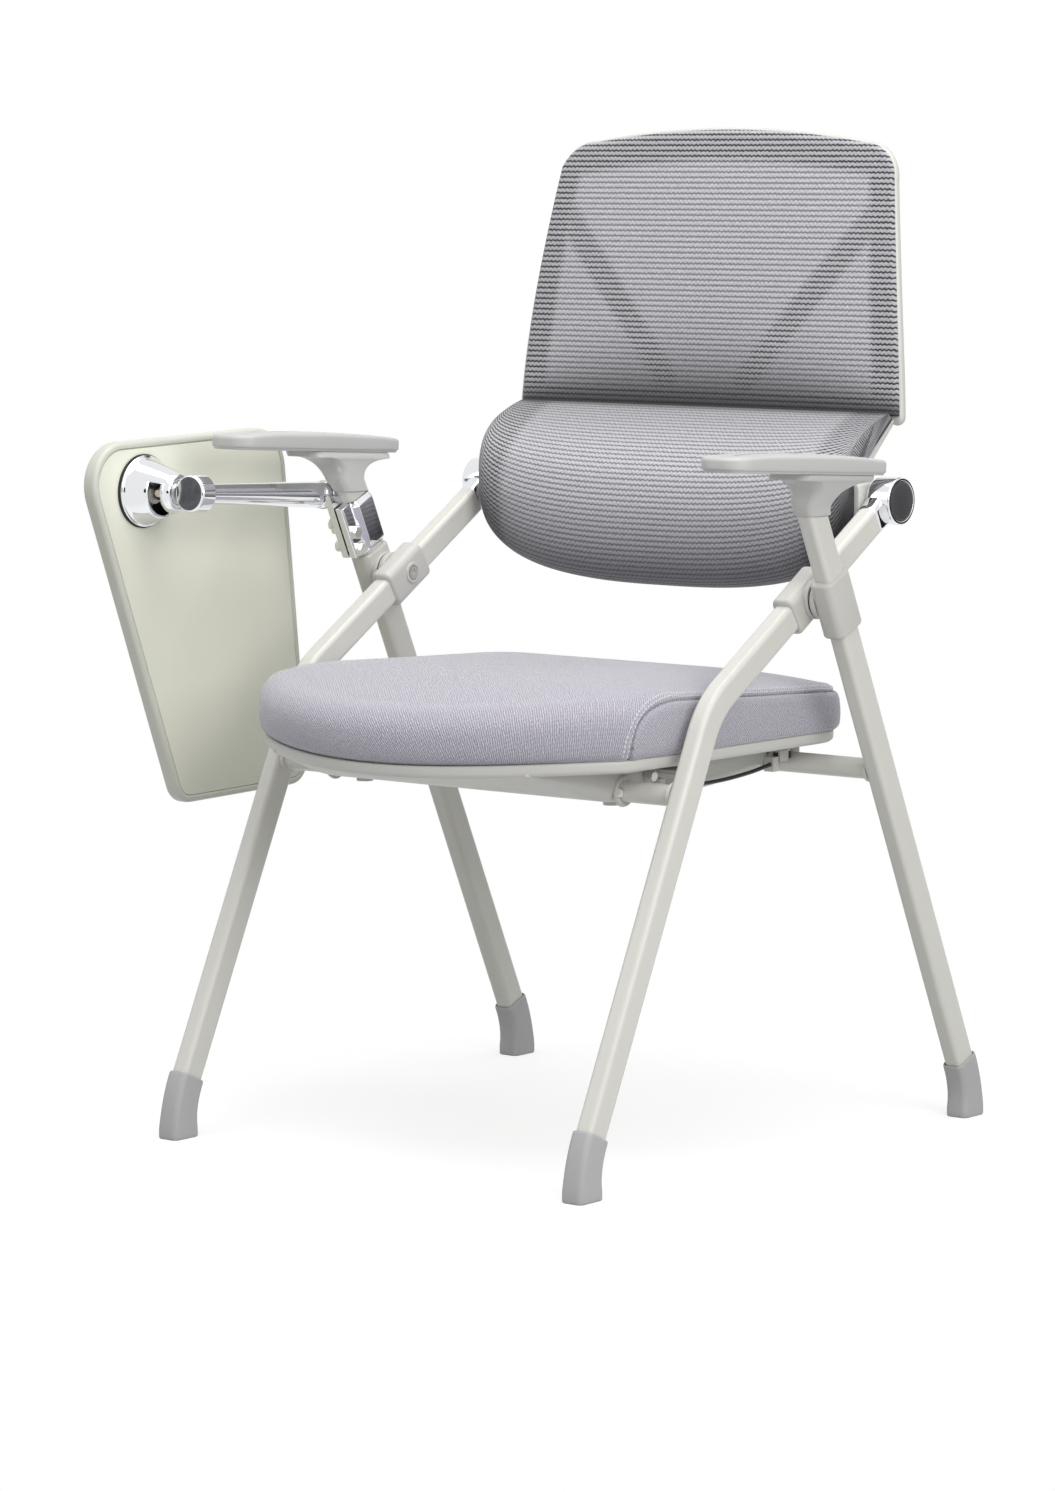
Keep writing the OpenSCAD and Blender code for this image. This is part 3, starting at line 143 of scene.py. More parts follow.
def both_sides(name, parts, body, finish, node):
    """The left piece and its mirror image, each standing for the node of its own side."""
    for side, turned in (("left", lambda part: part), ("right", flip)):
        piece(f"{name}_{side}", [turned(part) for part in parts], body, finish,
              [f"{node}_{side}"])


# %% [markdown]
# Three ways of making rings cover nearly every hard piece: a section carried along a line in
# the side plane, a profile turned about an axis, and a flat outline with rounded edges. The first
# cell below holds the outlines and lines that the three ways share.

# %% Outlines and lines
def round_box(w, d, r, n=7):
    """A rectangle w by d with corners of radius r, as points round its middle."""
    a = np.radians(np.linspace(0, 90, n + 1))
    corners = [(w / 2 - r, d / 2 - r, 0), (r - w / 2, d / 2 - r, 90),
               (r - w / 2, r - d / 2, 180), (w / 2 - r, r - d / 2, 270)]
    return np.vstack([np.stack([x + r * np.cos(a + np.radians(first)),
                                y + r * np.sin(a + np.radians(first))], -1)
                      for x, y, first in corners])


def fillet(profile, r, n=4):
    """A polyline with its inner corners rounded: each corner becomes a quadratic curve."""
    p = np.asarray(profile, float)
    out = [p[:1]]
    for a, b, c in zip(p[:-2], p[1:-1], p[2:]):
        k = min(r, 0.45 * np.linalg.norm(a - b), 0.45 * np.linalg.norm(c - b))
        s = b + (a - b) / max(np.linalg.norm(a - b), 1e-9) * k
        e = b + (c - b) / max(np.linalg.norm(c - b), 1e-9) * k
        t = np.linspace(0, 1, n + 1)[:, None]
        out.append((1 - t) ** 2 * s + 2 * t * (1 - t) * b + t ** 2 * e)
    return np.vstack(out + [p[-1:]])


def inset(outline, d):
    """A closed outline moved inwards by d along its normals."""
    o = np.asarray(outline, float)
    t = np.roll(o, -1, 0) - np.roll(o, 1, 0)
    t /= np.linalg.norm(t, axis=1)[:, None]
    n = np.stack([-t[:, 1], t[:, 0]], -1)
    area = 0.5 * np.sum(o[:, 0] * np.roll(o[:, 1], -1) - np.roll(o[:, 0], -1) * o[:, 1])
    return o + (n if area > 0 else -n) * d


# %% Walking along a line
def headings(line):
    """The unit tangent at each point of a line, from the points on either side of it."""
    t = np.gradient(np.asarray(line, float), axis=0)
    return t / np.linalg.norm(t, axis=1)[:, None]


def walked(line):
    """The distance walked along a line up to each of its points."""
    return np.concatenate([[0], np.cumsum(np.linalg.norm(np.diff(line, axis=0), axis=1))])


def at_distance(line, distance, wanted):
    """Points of a flat line where the distance walked along it has the wanted values."""
    return np.column_stack([np.interp(wanted, distance, line[:, 0]),
                            np.interp(wanted, distance, line[:, 1])])


def resample(outline, n):
    """A closed outline with n points evenly spaced along it."""
    closed = np.vstack([outline, outline[:1]])
    distance = walked(closed)
    return at_distance(closed, distance, np.linspace(0, distance[-1], n, endpoint=False))


def smooth(points, n):
    """A cubic curve through points (k, 2), each stretch bent by its four nearest, in n steps."""
    p = np.asarray(points, float)
    p = np.vstack([2 * p[0] - p[1], p, 2 * p[-1] - p[-2]])
    u = np.linspace(0, len(p) - 3 - 1e-9, n)
    i = u.astype(int)
    t = (u - i)[:, None]
    a, b, c, d = p[i], p[i + 1], p[i + 2], p[i + 3]
    return 0.5 * (2 * b + (c - a) * t + (2 * a - 5 * b + 4 * c - d) * t ** 2
                  + (3 * b - a - 3 * c + d) * t ** 3)


# %% Carried, turned and rounded
def carry(path, x, section):
    """A section, as [along X, across the path], along a path of [y, z] points at X = x."""
    ahead = headings(path)
    across = np.stack([ahead[:, 1], -ahead[:, 0]], -1)
    yz = path[:, None] + section[:, 1:2] * across[:, None]
    return np.concatenate([np.broadcast_to(x + section[:, 0:1], yz[..., :1].shape), yz], -1)


def ring_across(x, centre, direction, section):
    """One ring: a section laid square to a [y, z] direction, round a centre at X = x."""
    across = np.array([direction[1], -direction[0]])
    return np.column_stack([x + section[:, 0], centre + section[:, 1:2] * across])


def turn(profile, start, axis, n):
    """A profile of [distance along the axis, radius] turned about the axis, in n steps."""
    profile = np.asarray(profile, float)
    axis = np.asarray(axis, float) / np.linalg.norm(axis)
    u = np.cross(axis, [0, 0, 1.0])
    u /= np.linalg.norm(u)
    v = np.cross(axis, u)
    a = 2 * np.pi * np.arange(n) / n
    spokes = np.cos(a)[:, None] * u + np.sin(a)[:, None] * v
    return (np.asarray(start, float) + profile[:, None, 0:1] * axis
            + profile[:, None, 1:2] * spokes[None])


def soft_levels(height, r, n):
    """[inset, height] pairs for a plate whose two edges are rounded to radius r."""
    a = np.radians(np.linspace(0, 90, n + 1))
    low = np.stack([r - r * np.sin(a), r - r * np.cos(a)], -1)
    return np.vstack([low, np.stack([low[::-1, 0], height - low[::-1, 1]], -1)])


def quarter_round(near):
    """A quarter circle's height, sqrt(1 - (1 - near)^2), where near runs from 0 to 1."""
    return np.sqrt(1 - (1 - np.clip(near, 0, 1)) ** 2)


# %% [markdown]
# ## Finishes
# The photograph shows few colours, so texture carries the look: powder coat on the tubes, a fine
# moulded grain on the plastics, polished cast metal, a ribbed knit on the back and a twill on
# the seat. Pictures of real cloth would be quicker, but they stretch and repeat, so each finish is
# made from noise and waves in Object coordinates or in the piece's own attribute, in metres.

# %% Node helpers
def new_finish(name, colour, rough, metal=0.0, spec=0.5):
    """A Principled material with its plain values on the shader's own sockets."""
    mat = bpy.data.materials.new(name)
    mat.use_nodes = True
    tree = mat.node_tree
    shader = tree.nodes["Principled BSDF"]
    shader.inputs["Base Color"].default_value = (*colour, 1)
    shader.inputs["Roughness"].default_value = rough
    shader.inputs["Metallic"].default_value = metal
    shader.inputs["Specular IOR Level"].default_value = spec
    return mat, tree, shader


def add(tree, kind, inputs=(), **values):
    """A node with settings, and with links or numbers on the inputs named."""
    node = tree.nodes.new(kind)
    for key, value in values.items():
        setattr(node, key, value)
    for key, value in dict(inputs).items():
        if isinstance(value, bpy.types.NodeSocket):
            tree.links.new(value, node.inputs[key])
        else:
            node.inputs[key].default_value = value
    return node


# %% Small tools for patterns
def maths(tree, kind, a, b=0.0, c=0.0):
    """One sum on numbers or on what other nodes give."""
    return add(tree, "ShaderNodeMath", {0: a, 1: b, 2: c}, operation=kind).outputs[0]


def rescale(tree, value, low, high, to_low=0.0, to_high=1.0, curve="LINEAR"):
    """A value between low and high moved to lie between to_low and to_high, and held there."""
    inputs = {"Value": value, "From Min": low, "From Max": high, "To Min": to_low, "To Max": to_high}
    return add(tree, "ShaderNodeMapRange", inputs, interpolation_type=curve).outputs["Result"]


def noise(tree, where, scale, detail):
    """Soft noise about a half; one metre holds as many blotches as the scale says."""
    inputs = {"Vector": where, "Scale": scale, "Detail": detail}
    return add(tree, "ShaderNodeTexNoise", inputs).outputs["Fac"]


def colour_mix(tree, share, first, second):
    """The first colour at share 0, the second at share 1."""
    return add(tree, "ShaderNodeMix", {0: share, 6: first, 7: second}, data_type="RGBA").outputs[2]


def raised(tree, shader, height, depth):
    """A bump on the shader: height 1 stands depth metres proud of height 0."""
    bump = add(tree, "ShaderNodeBump", {"Height": height, "Distance": depth, "Strength": 1.0})
    tree.links.new(bump.outputs["Normal"], shader.inputs["Normal"])


def mottle(tree, where, colour, scale, share, detail=3.0):
    """A colour that drifts lighter and darker by a share, from soft noise."""
    ramp = add(tree, "ShaderNodeValToRGB", {"Fac": noise(tree, where, scale, detail)})
    dark, light = ramp.color_ramp.elements
    dark.position, light.position = 0.3, 0.7
    dark.color = (*[c * (1 - share) for c in colour], 1)
    light.color = (*[min(1, c * (1 + share)) for c in colour], 1)
    return ramp.outputs["Color"]


# %% [markdown]
# The tubes are powder coated, and the mouldings come from eroded steel moulds, so both show a fine
# grain and a slow drift in colour and gloss. One recipe serves them all, with its own colour and
# grain for each. The plated pieces are full metals whose gloss varies a little, as handling leaves
# them. Light that a metal throws on its neighbours is dulled, because its sparkle would be noise.

# %% Plastics, paint and metal
def coated(name, colour, rough, drift, fine, depth, spec=0.5):
    """A painted or moulded finish: slow colour drift, a fine grain and slightly uneven gloss."""
    mat, tree, shader = new_finish(name, colour, rough, spec=spec)
    where = add(tree, "ShaderNodeTexCoord").outputs["Object"]
    tree.links.new(mottle(tree, where, colour, 14, drift), shader.inputs["Base Color"])
    raised(tree, shader, noise(tree, where, fine, 2), depth)
    gloss = rescale(tree, noise(tree, where, 60, 2), 0, 1, rough - 0.05, rough + 0.06)
    tree.links.new(gloss, shader.inputs["Roughness"])
    return mat


def metal(name, colour, rough, drift, scale):
    """Bare or plated metal: full metallic, with gloss that varies a little over the surface."""
    mat, tree, shader = new_finish(name, colour, rough, metal=1.0)
    where = add(tree, "ShaderNodeTexCoord").outputs["Object"]
    smear = rescale(tree, noise(tree, where, scale, 4), 0, 1, max(0.02, rough - drift), rough + drift)
    thrown = add(tree, "ShaderNodeLightPath").outputs["Is Diffuse Ray"]
    tree.links.new(maths(tree, "MULTIPLY_ADD", thrown, 0.6, smear), shader.inputs["Roughness"])
    raised(tree, shader, noise(tree, where, 220, 2), 0.00002)
    return mat


# Name, colour, roughness, drift in colour, and the grain's scale and depth in metres.
paint = coated("frame paint", (0.65, 0.645, 0.60), 0.36, 0.012, 1500, 0.00003)
joint_plastic = coated("joint plastic", (0.55, 0.54, 0.51), 0.42, 0.02, 2600, 0.00004)
foot_plastic = coated("foot plastic", (0.43, 0.43, 0.435), 0.5, 0.03, 2200, 0.00006)
arm_plastic = coated("arm plastic", (0.53, 0.528, 0.51), 0.42, 0.02, 2400, 0.00004)
pad_plastic = coated("pad plastic", (0.49, 0.49, 0.48), 0.48, 0.02, 2600, 0.00006)
shell_plastic = coated("shell plastic", (0.56, 0.555, 0.525), 0.42, 0.015, 2400, 0.00004)
tablet_face = coated("tablet face", (0.74, 0.75, 0.64), 0.46, 0.015, 1800, 0.00005)
tablet_edge = coated("tablet edge", (0.59, 0.595, 0.53), 0.42, 0.015, 1800, 0.00004)
black_plastic = coated("black plastic", (0.035, 0.035, 0.038), 0.4, 0.05, 2000, 0.00004)
stop_plastic = coated("stop plastic", (0.62, 0.57, 0.44), 0.4, 0.02, 1500, 0.00003)
gasket_rubber = coated("gasket rubber", (0.02, 0.02, 0.021), 0.7, 0.05, 1500, 0.00005)
cable_cover = coated("cable cover", (0.012, 0.012, 0.013), 0.3, 0.05, 1500, 0.00002)
board_ply = coated("board ply", (0.5, 0.36, 0.2), 0.6, 0.1, 300, 0.0002)
stitch_thread = coated("stitch thread", (0.74, 0.73, 0.80), 0.6, 0.05, 3000, 0.00005)
chrome = metal("polished metal", (0.80, 0.81, 0.83), 0.07, 0.04, 40)
steel = metal("steel screws", (0.80, 0.79, 0.76), 0.38, 0.06, 200)
print("finishes", len(bpy.data.materials))

# %% [markdown]
# The back is a stretch knit: thick light ribs that run across in shallow zigzags, with dark gaps
# between them. The ribs could be threads of mesh, but they are 5 mm apart and a thread's width
# deep, so they are real only in the shader. The pattern reads an attribute with the across position
# and the height on the cloth, so it follows the panel with no seam. A second attribute holds painted
# shade: how much frame lies behind, where the gaps are painted dark, and how deep the painted shade
# of a crease is. Open gaps are painted paler, as if the room showed through, with painted glints.

# %% Knit
RIB_PITCH, RIB_DEPTH = 0.0053, 0.0006
ZIG_PITCH, STRAND_PITCH = 0.0052, 0.0016
# A painted glint colour, then the near-black colour of painted shade.
PAINTED_GLINT_COLOUR, PAINTED_SHADE_COLOUR = (0.95, 0.95, 0.95, 1), (0.02, 0.02, 0.022, 1)


def wave_share(tree, distance, pitch):
    """A sine wave over a distance, one wave each pitch, from 0 to 1."""
    turned = maths(tree, "MULTIPLY", distance, 2 * math.pi / pitch)
    return maths(tree, "MULTIPLY_ADD", maths(tree, "SINE", turned), 0.5, 0.5)


def knit_ribs(tree, where, axes, zig):
    """sin(pi * share of a row) plus noise, where the row leans by a triangle wave of height zig."""
    wave = maths(tree, "PINGPONG", maths(tree, "DIVIDE", axes["X"], ZIG_PITCH), 0.5)
    leaning = maths(tree, "ADD", axes["Z"], maths(tree, "MULTIPLY", wave, zig))
    share = maths(tree, "FRACT", maths(tree, "DIVIDE", leaning, RIB_PITCH))
    uneven = maths(tree, "MULTIPLY_ADD", noise(tree, where, 260, 2), 0.7, -0.35)
    return maths(tree, "ADD", maths(tree, "SINE", maths(tree, "MULTIPLY", share, math.pi)), uneven)


def knit_colour(tree, where, rib, gap, ribs, slubs_and_glints):
    """Mottled ribs, painted glints, gaps painted pale or dark by what lies behind, painted shade."""
    # Only the brightest part of the noise is painted pale, as a painted glint.
    glint = rescale(tree, slubs_and_glints, 0.61, 0.70)
    thread = colour_mix(tree, glint, mottle(tree, where, rib, 520, 0.15, detail=2), PAINTED_GLINT_COLOUR)
    behind = add(tree, "ShaderNodeAttribute", attribute_name="behind").outputs["Vector"]
    shade = add(tree, "ShaderNodeSeparateXYZ", {"Vector": behind}).outputs
    # Painted light and shade: an open gap is painted paler, as if the pale room showed through it,
    # and one over the frame is painted dark, as shade.
    room_lit_gap = (*[0.34 * a + 0.66 * b for a, b in zip(rib, gap)], 1)
    frame_shaded_gap = (*[c * 0.3 for c in gap], 1)
    gaps = colour_mix(tree, shade["X"], room_lit_gap, frame_shaded_gap)
    cloth = colour_mix(tree, rescale(tree, ribs, 0.36, 0.74), gaps, thread)
    # Y darkens the knit towards near-black: painted shade in creases, under the roll and at edges.
    return colour_mix(tree, shade["Y"], cloth, PAINTED_SHADE_COLOUR)


def knit_finish(name, rib, gap, zig):
    """The knit's colour, painted glints, and a bump from ribs, slanted strands and slub noise."""
    mat, tree, shader = new_finish(name, rib, 0.55, spec=0.35)
    shader.inputs["Sheen Weight"].default_value = 0.12
    where = add(tree, "ShaderNodeAttribute", attribute_name="knit").outputs["Vector"]
    axes = add(tree, "ShaderNodeSeparateXYZ", {"Vector": where}).outputs
    ribs = knit_ribs(tree, where, axes, zig)
    # Slub noise: a bump, and its brightest part a painted glint in the colour.
    slubs_and_glints = noise(tree, where, 900, 2)
    slanted = maths(tree, "ADD", axes["X"], maths(tree, "MULTIPLY", axes["Z"], 0.6))
    strands = wave_share(tree, slanted, STRAND_PITCH)
    height = maths(tree, "MULTIPLY_ADD", strands, 0.14, maths(tree, "POWER", ribs, 0.7))
    height = maths(tree, "MULTIPLY_ADD", slubs_and_glints, 0.12, height)
    tree.links.new(knit_colour(tree, where, rib, gap, ribs, slubs_and_glints), shader.inputs["Base Color"])
    raised(tree, shader, height, RIB_DEPTH)
    return mat


panel_knit = knit_finish("panel knit", (0.495, 0.49, 0.52), (0.07, 0.084, 0.092), 0.0024)
roll_knit = knit_finish("roll knit", (0.50, 0.495, 0.525), (0.075, 0.084, 0.092), 0.0028)
print("knit", RIB_PITCH * MM_IN_METRE, "mm from rib to rib")

# %% [markdown]
# The seat is a tight wool-like twill, lilac grey, with fine slanted wales and pale flecks. A woven
# check would look too regular, so noise bends the wales and carries most of the colour. Loose
# fibres make real cloth paler where it turns away from the eye, which sheen gives, with a painted
# sheen: a paler colour mixed in by how far the surface turns away.

# %% Twill
WALE_PITCH, FLOAT_PITCH, WEAVE_DEPTH = 0.0030, 0.0058, 0.00045
# The first colour is a painted sheen, mixed in where the cloth turns away from the eye.
PAINTED_SHEEN_COLOUR, SEAM_COLOUR = (0.67, 0.66, 0.73, 1), (0.13, 0.125, 0.155, 1)


def twill_weave(tree, where):
    """Wales over (x + y), bent by noise, with weak floats over (x - y) and strong flecks."""
    axes = add(tree, "ShaderNodeSeparateXYZ", {"Vector": where}).outputs
    bent = maths(tree, "MULTIPLY_ADD", noise(tree, where, 240, 1), 0.0034, axes["Y"])
    wales = wave_share(tree, maths(tree, "ADD", axes["X"], bent), WALE_PITCH)
    floats = wave_share(tree, maths(tree, "SUBTRACT", axes["X"], axes["Y"]), FLOAT_PITCH)
    weave = maths(tree, "MULTIPLY_ADD", floats, 0.15, wales)
    return maths(tree, "MULTIPLY_ADD", noise(tree, where, 560, 3), 1.3, weave)


def twill_finish():
    """Colours dark to pale up the weave, painted sheen where it turns away, and a dark seam line."""
    mat, tree, shader = new_finish("seat twill", (0.44, 0.43, 0.485), 0.82, spec=0.25)
    shader.inputs["Sheen Weight"].default_value = 0.9
    shader.inputs["Sheen Roughness"].default_value = 0.3
    where = add(tree, "ShaderNodeAttribute", attribute_name="cloth").outputs["Vector"]
    weave = twill_weave(tree, where)
    ramp = add(tree, "ShaderNodeValToRGB", {"Fac": rescale(tree, weave, 0.35, 2.05)})
    ramp.color_ramp.elements[0].color = (0.24, 0.23, 0.28, 1)
    ramp.color_ramp.elements[1].color = (0.64, 0.62, 0.69, 1)
    ramp.color_ramp.elements.new(0.5).color = (0.41, 0.395, 0.455, 1)
    # Painted sheen: the colour grows paler where the surface turns away from the eye.
    facing = add(tree, "ShaderNodeLayerWeight", {"Blend": 0.5}).outputs["Facing"]
    painted_sheen = rescale(tree, facing, 0.5, 0.9, 0.0, 0.26)
    sheened_colour = colour_mix(tree, painted_sheen, ramp.outputs["Color"], PAINTED_SHEEN_COLOUR)
    line = add(tree, "ShaderNodeAttribute", attribute_name="seam").outputs["Fac"]
    seamed = colour_mix(tree, maths(tree, "MULTIPLY", line, 0.7), sheened_colour, SEAM_COLOUR)
    tree.links.new(seamed, shader.inputs["Base Color"])
    raised(tree, shader, weave, WEAVE_DEPTH)
    return mat


seat_twill = twill_finish()
print("twill", WALE_PITCH * MM_IN_METRE, "mm from wale to wale")

# %% [markdown]
# ## The frame
# The two tubes, bars, screws and pins are simple solids whose shape is already right, so they
# keep their CAD mesh and only get a finish. The table also gives one to the solids that pieces
# below stand for, so that none is ever without.

# %% Finishes of the carried-over pieces
finish_of = {
    paint: ["front_tube_left", "front_tube_right", "rear_tube_left", "rear_tube_right",
            "front_crossbar", "rear_crossbar"],
    steel: ["front_bar_screws", "back_hinge_pins", "fold_bolts", "fold_inserts", "pad_screws",
            "clamp_nuts", "clamp_bolts", "swivel_spindle", "spindle_screw", "bell_screws",
            "seat_screws", "lever_pin", "arm_nut"],
    black_plastic: ["bracket_caps", "back_bushes", "latch_pawl"],
    shell_plastic: ["latch_guide", "cable_anchors", "back_frame", "seat_pan", "seat_bumpers"],
    foot_plastic: ["front_foot_left", "front_foot_right", "rear_foot_left", "rear_foot_right"],
    joint_plastic: ["front_housing_left", "front_housing_right", "rear_housing_left",
                    "rear_housing_right"],
    chrome: ["back_bracket_left", "back_bracket_right", "tablet_bell", "tablet_arm", "clamp_outer",
             "clamp_inner"],
    arm_plastic: ["arm_support_left", "arm_support_right", "release_lever"],
    pad_plastic: ["arm_pad_left", "arm_pad_right"],
    stop_plastic: ["stop_pin"],
    gasket_rubber: ["bell_gasket"],
    tablet_face: ["tablet_board"],
    tablet_edge: ["tablet_rim"],
    board_ply: ["seat_board"],
    cable_cover: ["cable"],
    seat_twill: ["seat_cushion"],
    panel_knit: ["back_mesh"],
    roll_knit: ["lumbar_pad"],
}
for finish, names in finish_of.items():
    for name in names:
        nodes[name].data.materials.clear()
        nodes[name].data.materials.append(finish)
print("dressed", sum(len(names) for names in finish_of.values()), "carried-over pieces")

# %% [markdown]
# ## The release cable
# A thin black sleeve with a wire in it runs under the seat pan from the paddle at the front to the
# latch at the rear bar. Both ends sit in small anchors, so it is short, stiff and nearly straight,
# with a shallow sag. Letting a simulated cable hang would give the same, so a round section is
# carried along a smooth curve through the eight points of the route, all in one side plane.

# %% Release cable
cable_knots = [[-84, 353], [-70, 351], [-40, 349], [-8, 348.5], [24, 349.5], [56, 352], [76, 354.5],
               [88, 356.5]]
cable_out, cable_r = 181.0, 2.0
around = np.radians(np.arange(0, 360, 22.5))
cable_section = cable_r * np.column_stack([np.cos(around), np.sin(around)])
route = smooth(cable_knots, 36)
cable = piece("release_cable", [skin(carry(route, cable_out, cable_section))], "seat",
              cable_cover, ["cable"])

# %% [markdown]
# ## Where things are
# The chair folds about one pin on each side. The front tubes rise through it to the back hinges,
# and the rear tubes cross them there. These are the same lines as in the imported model, written as
# a point and a way to go, so that every sleeve, foot and clamp can be laid square to its tube.

# %% Lines of the frame, as [y, z]
def way(degrees):
    """The unit vector that climbs at an angle from +Y."""
    return np.array([math.cos(math.radians(degrees)), math.sin(math.radians(degrees))])


FRONT_LEAN, REAR_LEAN = 25.4, 24.9
rear_lean = math.radians(REAR_LEAN)
fold_pin = np.array([52.0, 522.0])
rise_way = way(31.7)
front_way = way(90 - FRONT_LEAN)
rear_way = way(90 + REAR_LEAN)
bend_at = fold_pin - 175 * rise_way
hinge_at = fold_pin + 160.7 * rise_way
front_x, rear_x = 245.0, 281.0


def front_at(z):
    """Where the front leg's line is at a height."""
    return bend_at + front_way * (z - bend_at[1]) / front_way[1]


def rear_at(z):
    """Where the rear leg's line is at a height."""
    return fold_pin + rear_way * (z - fold_pin[1]) / rear_way[1]


print("bend", bend_at.round(1), "hinge", hinge_at.round(1))

# %% [markdown]
# A foot is a soft plastic boot: its top follows the slanted tube, its sole lies flat on the
# floor. A block bent in two would crease, so each of its rings is a point on a bent line between
# the top ring and the sole ring, which gives the knee that the real boot has above its sole.

# %% Feet
COLLAR_Z, SOLE_IN, KNEE_DOWN = 58.0, 15.0, 25
# Width, depth, corner radius, and the way down the tube from the collar's top.
collar_rings = [(19.3, 27.3, 5, 2.4), (21.0, 29.0, 5, 2.2), (21.2, 29.2, 5, 0.2), (21.9, 29.9, 6, -0.1),
                (22.8, 30.8, 6, 0.2), (23.4, 31.4, 6, 1.2), (23.6, 31.6, 6, 2.2)]
# Width, depth, corner radius and height.
sole_rings = [(25, 35, 6, 5), (25, 35, 6, 2.2), (24.4, 34.4, 5.7, 0.8), (22.6, 32.6, 5, 0)]


def boot(x, line, direction, inward):
    """Rings (1-t)^2 collar + 2t(1-t) knee + t^2 sole, between the collar's lip and the tread."""
    def collar(width, depth, corner, down):
        """A ring square to the tube, the given way down from the collar's top."""
        return ring_across(x, line(COLLAR_Z) - direction * down, direction,
                           round_box(width, depth, corner))

    def sole(width, depth, corner, z):
        """A level ring at a height over the floor."""
        s = round_box(width, depth, corner)
        y = line(0.0)[0] + inward * SOLE_IN
        return np.column_stack([x + s[:, 0], y + s[:, 1], np.full(len(s), z)])

    top, low = collar(23.6, 31.6, 6, 3.0), sole(25, 35, 6, 9.0)
    knee = top + [0, *(-direction * KNEE_DOWN)]
    t = np.linspace(0, 1, 13)[:, None, None]
    body = (1 - t) ** 2 * top + 2 * t * (1 - t) * knee + t ** 2 * low
    return skin([collar(*ring) for ring in collar_rings] + list(body)
                + [sole(*ring) for ring in sole_rings])


both_sides("boot_front", [boot(front_x, front_at, front_way, 1)], "front_frame",
           foot_plastic, "front_foot")
both_sides("boot_rear", [boot(rear_x, rear_at, rear_way, -1)], "rear_frame",
           foot_plastic, "rear_foot")

# %% [markdown]
# At the fold each tube wears a moulded sleeve, and the two sleeves meet on round bosses with a
# thin washer between them, made near-black so that it also stands in as painted shade for the gap.
# The inner sleeve has a raised ring round the bolt. Sleeves are sections carried along the tube,
# and what is round is a profile turned about the bolt's line.

# %% Fold joints
SLEEVE_LONG, SLEEVE_EDGE, SHARE_BELOW_PIN = 58.0, 3.4, 0.56


def sleeve(x, direction):
    """A rounded box section carried along the tube, drawn in at both ends by the edge radius."""
    rings = []
    for i, along in soft_levels(SLEEVE_LONG, SLEEVE_EDGE, 6):
        centre = fold_pin + direction * (along - SHARE_BELOW_PIN * SLEEVE_LONG)
        section = round_box(25.2 - 2 * i, 39.2 - 2 * i, 8.0 - 0.5 * i)
        rings.append(ring_across(x, centre, direction, section))
    return skin(rings)


def boss(x0, x1, r, edge=1.2):
    """A disc on the bolt's line between x0 and x1, with rounded rims."""
    profile = fillet([[x0, 0], [x0, r], [x1, r], [x1, 0]], edge)
    return skin(turn(profile, [0, *fold_pin], ALONG_X, 72)[1:-1])


def bolt_ring(x):
    """A raised ring round the bolt's head, on the face at x."""
    profile = fillet([[1, 7.2], [-1.5, 7.2], [-1.5, 10.4], [1, 10.4]], 0.7, 5)
    return skin(turn(profile, [x, *fold_pin], ALONG_X, 48), ends=False)


front_sleeve = [sleeve(front_x, rise_way), boss(256.0, 262.2, 19.0), bolt_ring(232.4)]
rear_sleeve = [sleeve(rear_x, rear_way), boss(264.2, 270.0, 19.0)]
# The washer is near-black: painted shade for the gap between the bosses.
gap_shade_washer = boss(262.25, 264.15, 17.6, 0.3)
both_sides("fold_sleeve_front", front_sleeve, "front_frame", joint_plastic,
           "front_housing")
both_sides("fold_sleeve_rear", rear_sleeve, "rear_frame", joint_plastic,
           "rear_housing")
piece("fold_gap_shade_washers", [gap_shade_washer, flip(gap_shade_washer)], "front_frame", gasket_rubber)

# %% [markdown]
# The back hangs on two polished barrels. Each has a short neck that plugs into the front tube,
# leaving a thin dark line, and a black cap that closes its outer end. On the real chair the barrel
# is turned or cast, and here its profile is turned about the hinge's line in the same way.

# %% Back hinges
barrel_profile = [[236.5, 6.3], [236.5, 23], [262, 23], [262, 19.2], [259.4, 19.2], [259.4, 6.3]]
# Distance down the tube from the hinge, and how much the neck has grown there.
neck_rings = [(34.6, -1.2), (34.2, 0.0), (33.4, 0.5), (30, 0.8), (24, 1.0), (18, 1.6), (10, 2.6)]


def barrel():
    """A turned drum with rounded rims, a seat for the cap, and a neck of the tube's section."""
    drum = turn(fillet(barrel_profile, 1.8, 5), [0, *hinge_at], ALONG_X, 96)
    neck = [ring_across(front_x, hinge_at - rise_way * down, rise_way,
                        round_box(19 + min(grow, 1.0), 27 + 2 * grow, 5.5))
            for down, grow in neck_rings]
    return [skin(drum, ends=False), skin(neck)]


def cap():
    """A low dome, 1.3 (r / 18.2)^2 deep, turned about the hinge's axis, with a rounded rim."""
    a = np.linspace(0, 1, 12)[1:]
    dome = np.column_stack([263.9 - 1.3 * a ** 2, 18.2 * a])
    profile = np.vstack([dome, [[262.2, 18.9], [261.2, 19.05], [259.6, 19.05]]])
    return skin(turn(profile, [0, *hinge_at], ALONG_X, 72))


both_sides("barrel", barrel(), "front_frame", chrome, "back_bracket")
lid = cap()
piece("barrel_caps", [lid, flip(lid)], "front_frame", black_plastic, ["bracket_caps"])

# %% [markdown]
# ## The back
# The back frame is one moulding: a plate behind the lumbar roll that steps back and becomes a ring
# of rails with two slanted struts. Its panel lies on a large cylinder. A flat ring could be bent
# with a modifier, but every rail then needs its own correction, so each is a rounded section
# carried along a line on that cylinder, with the cylinder's normal as its own.

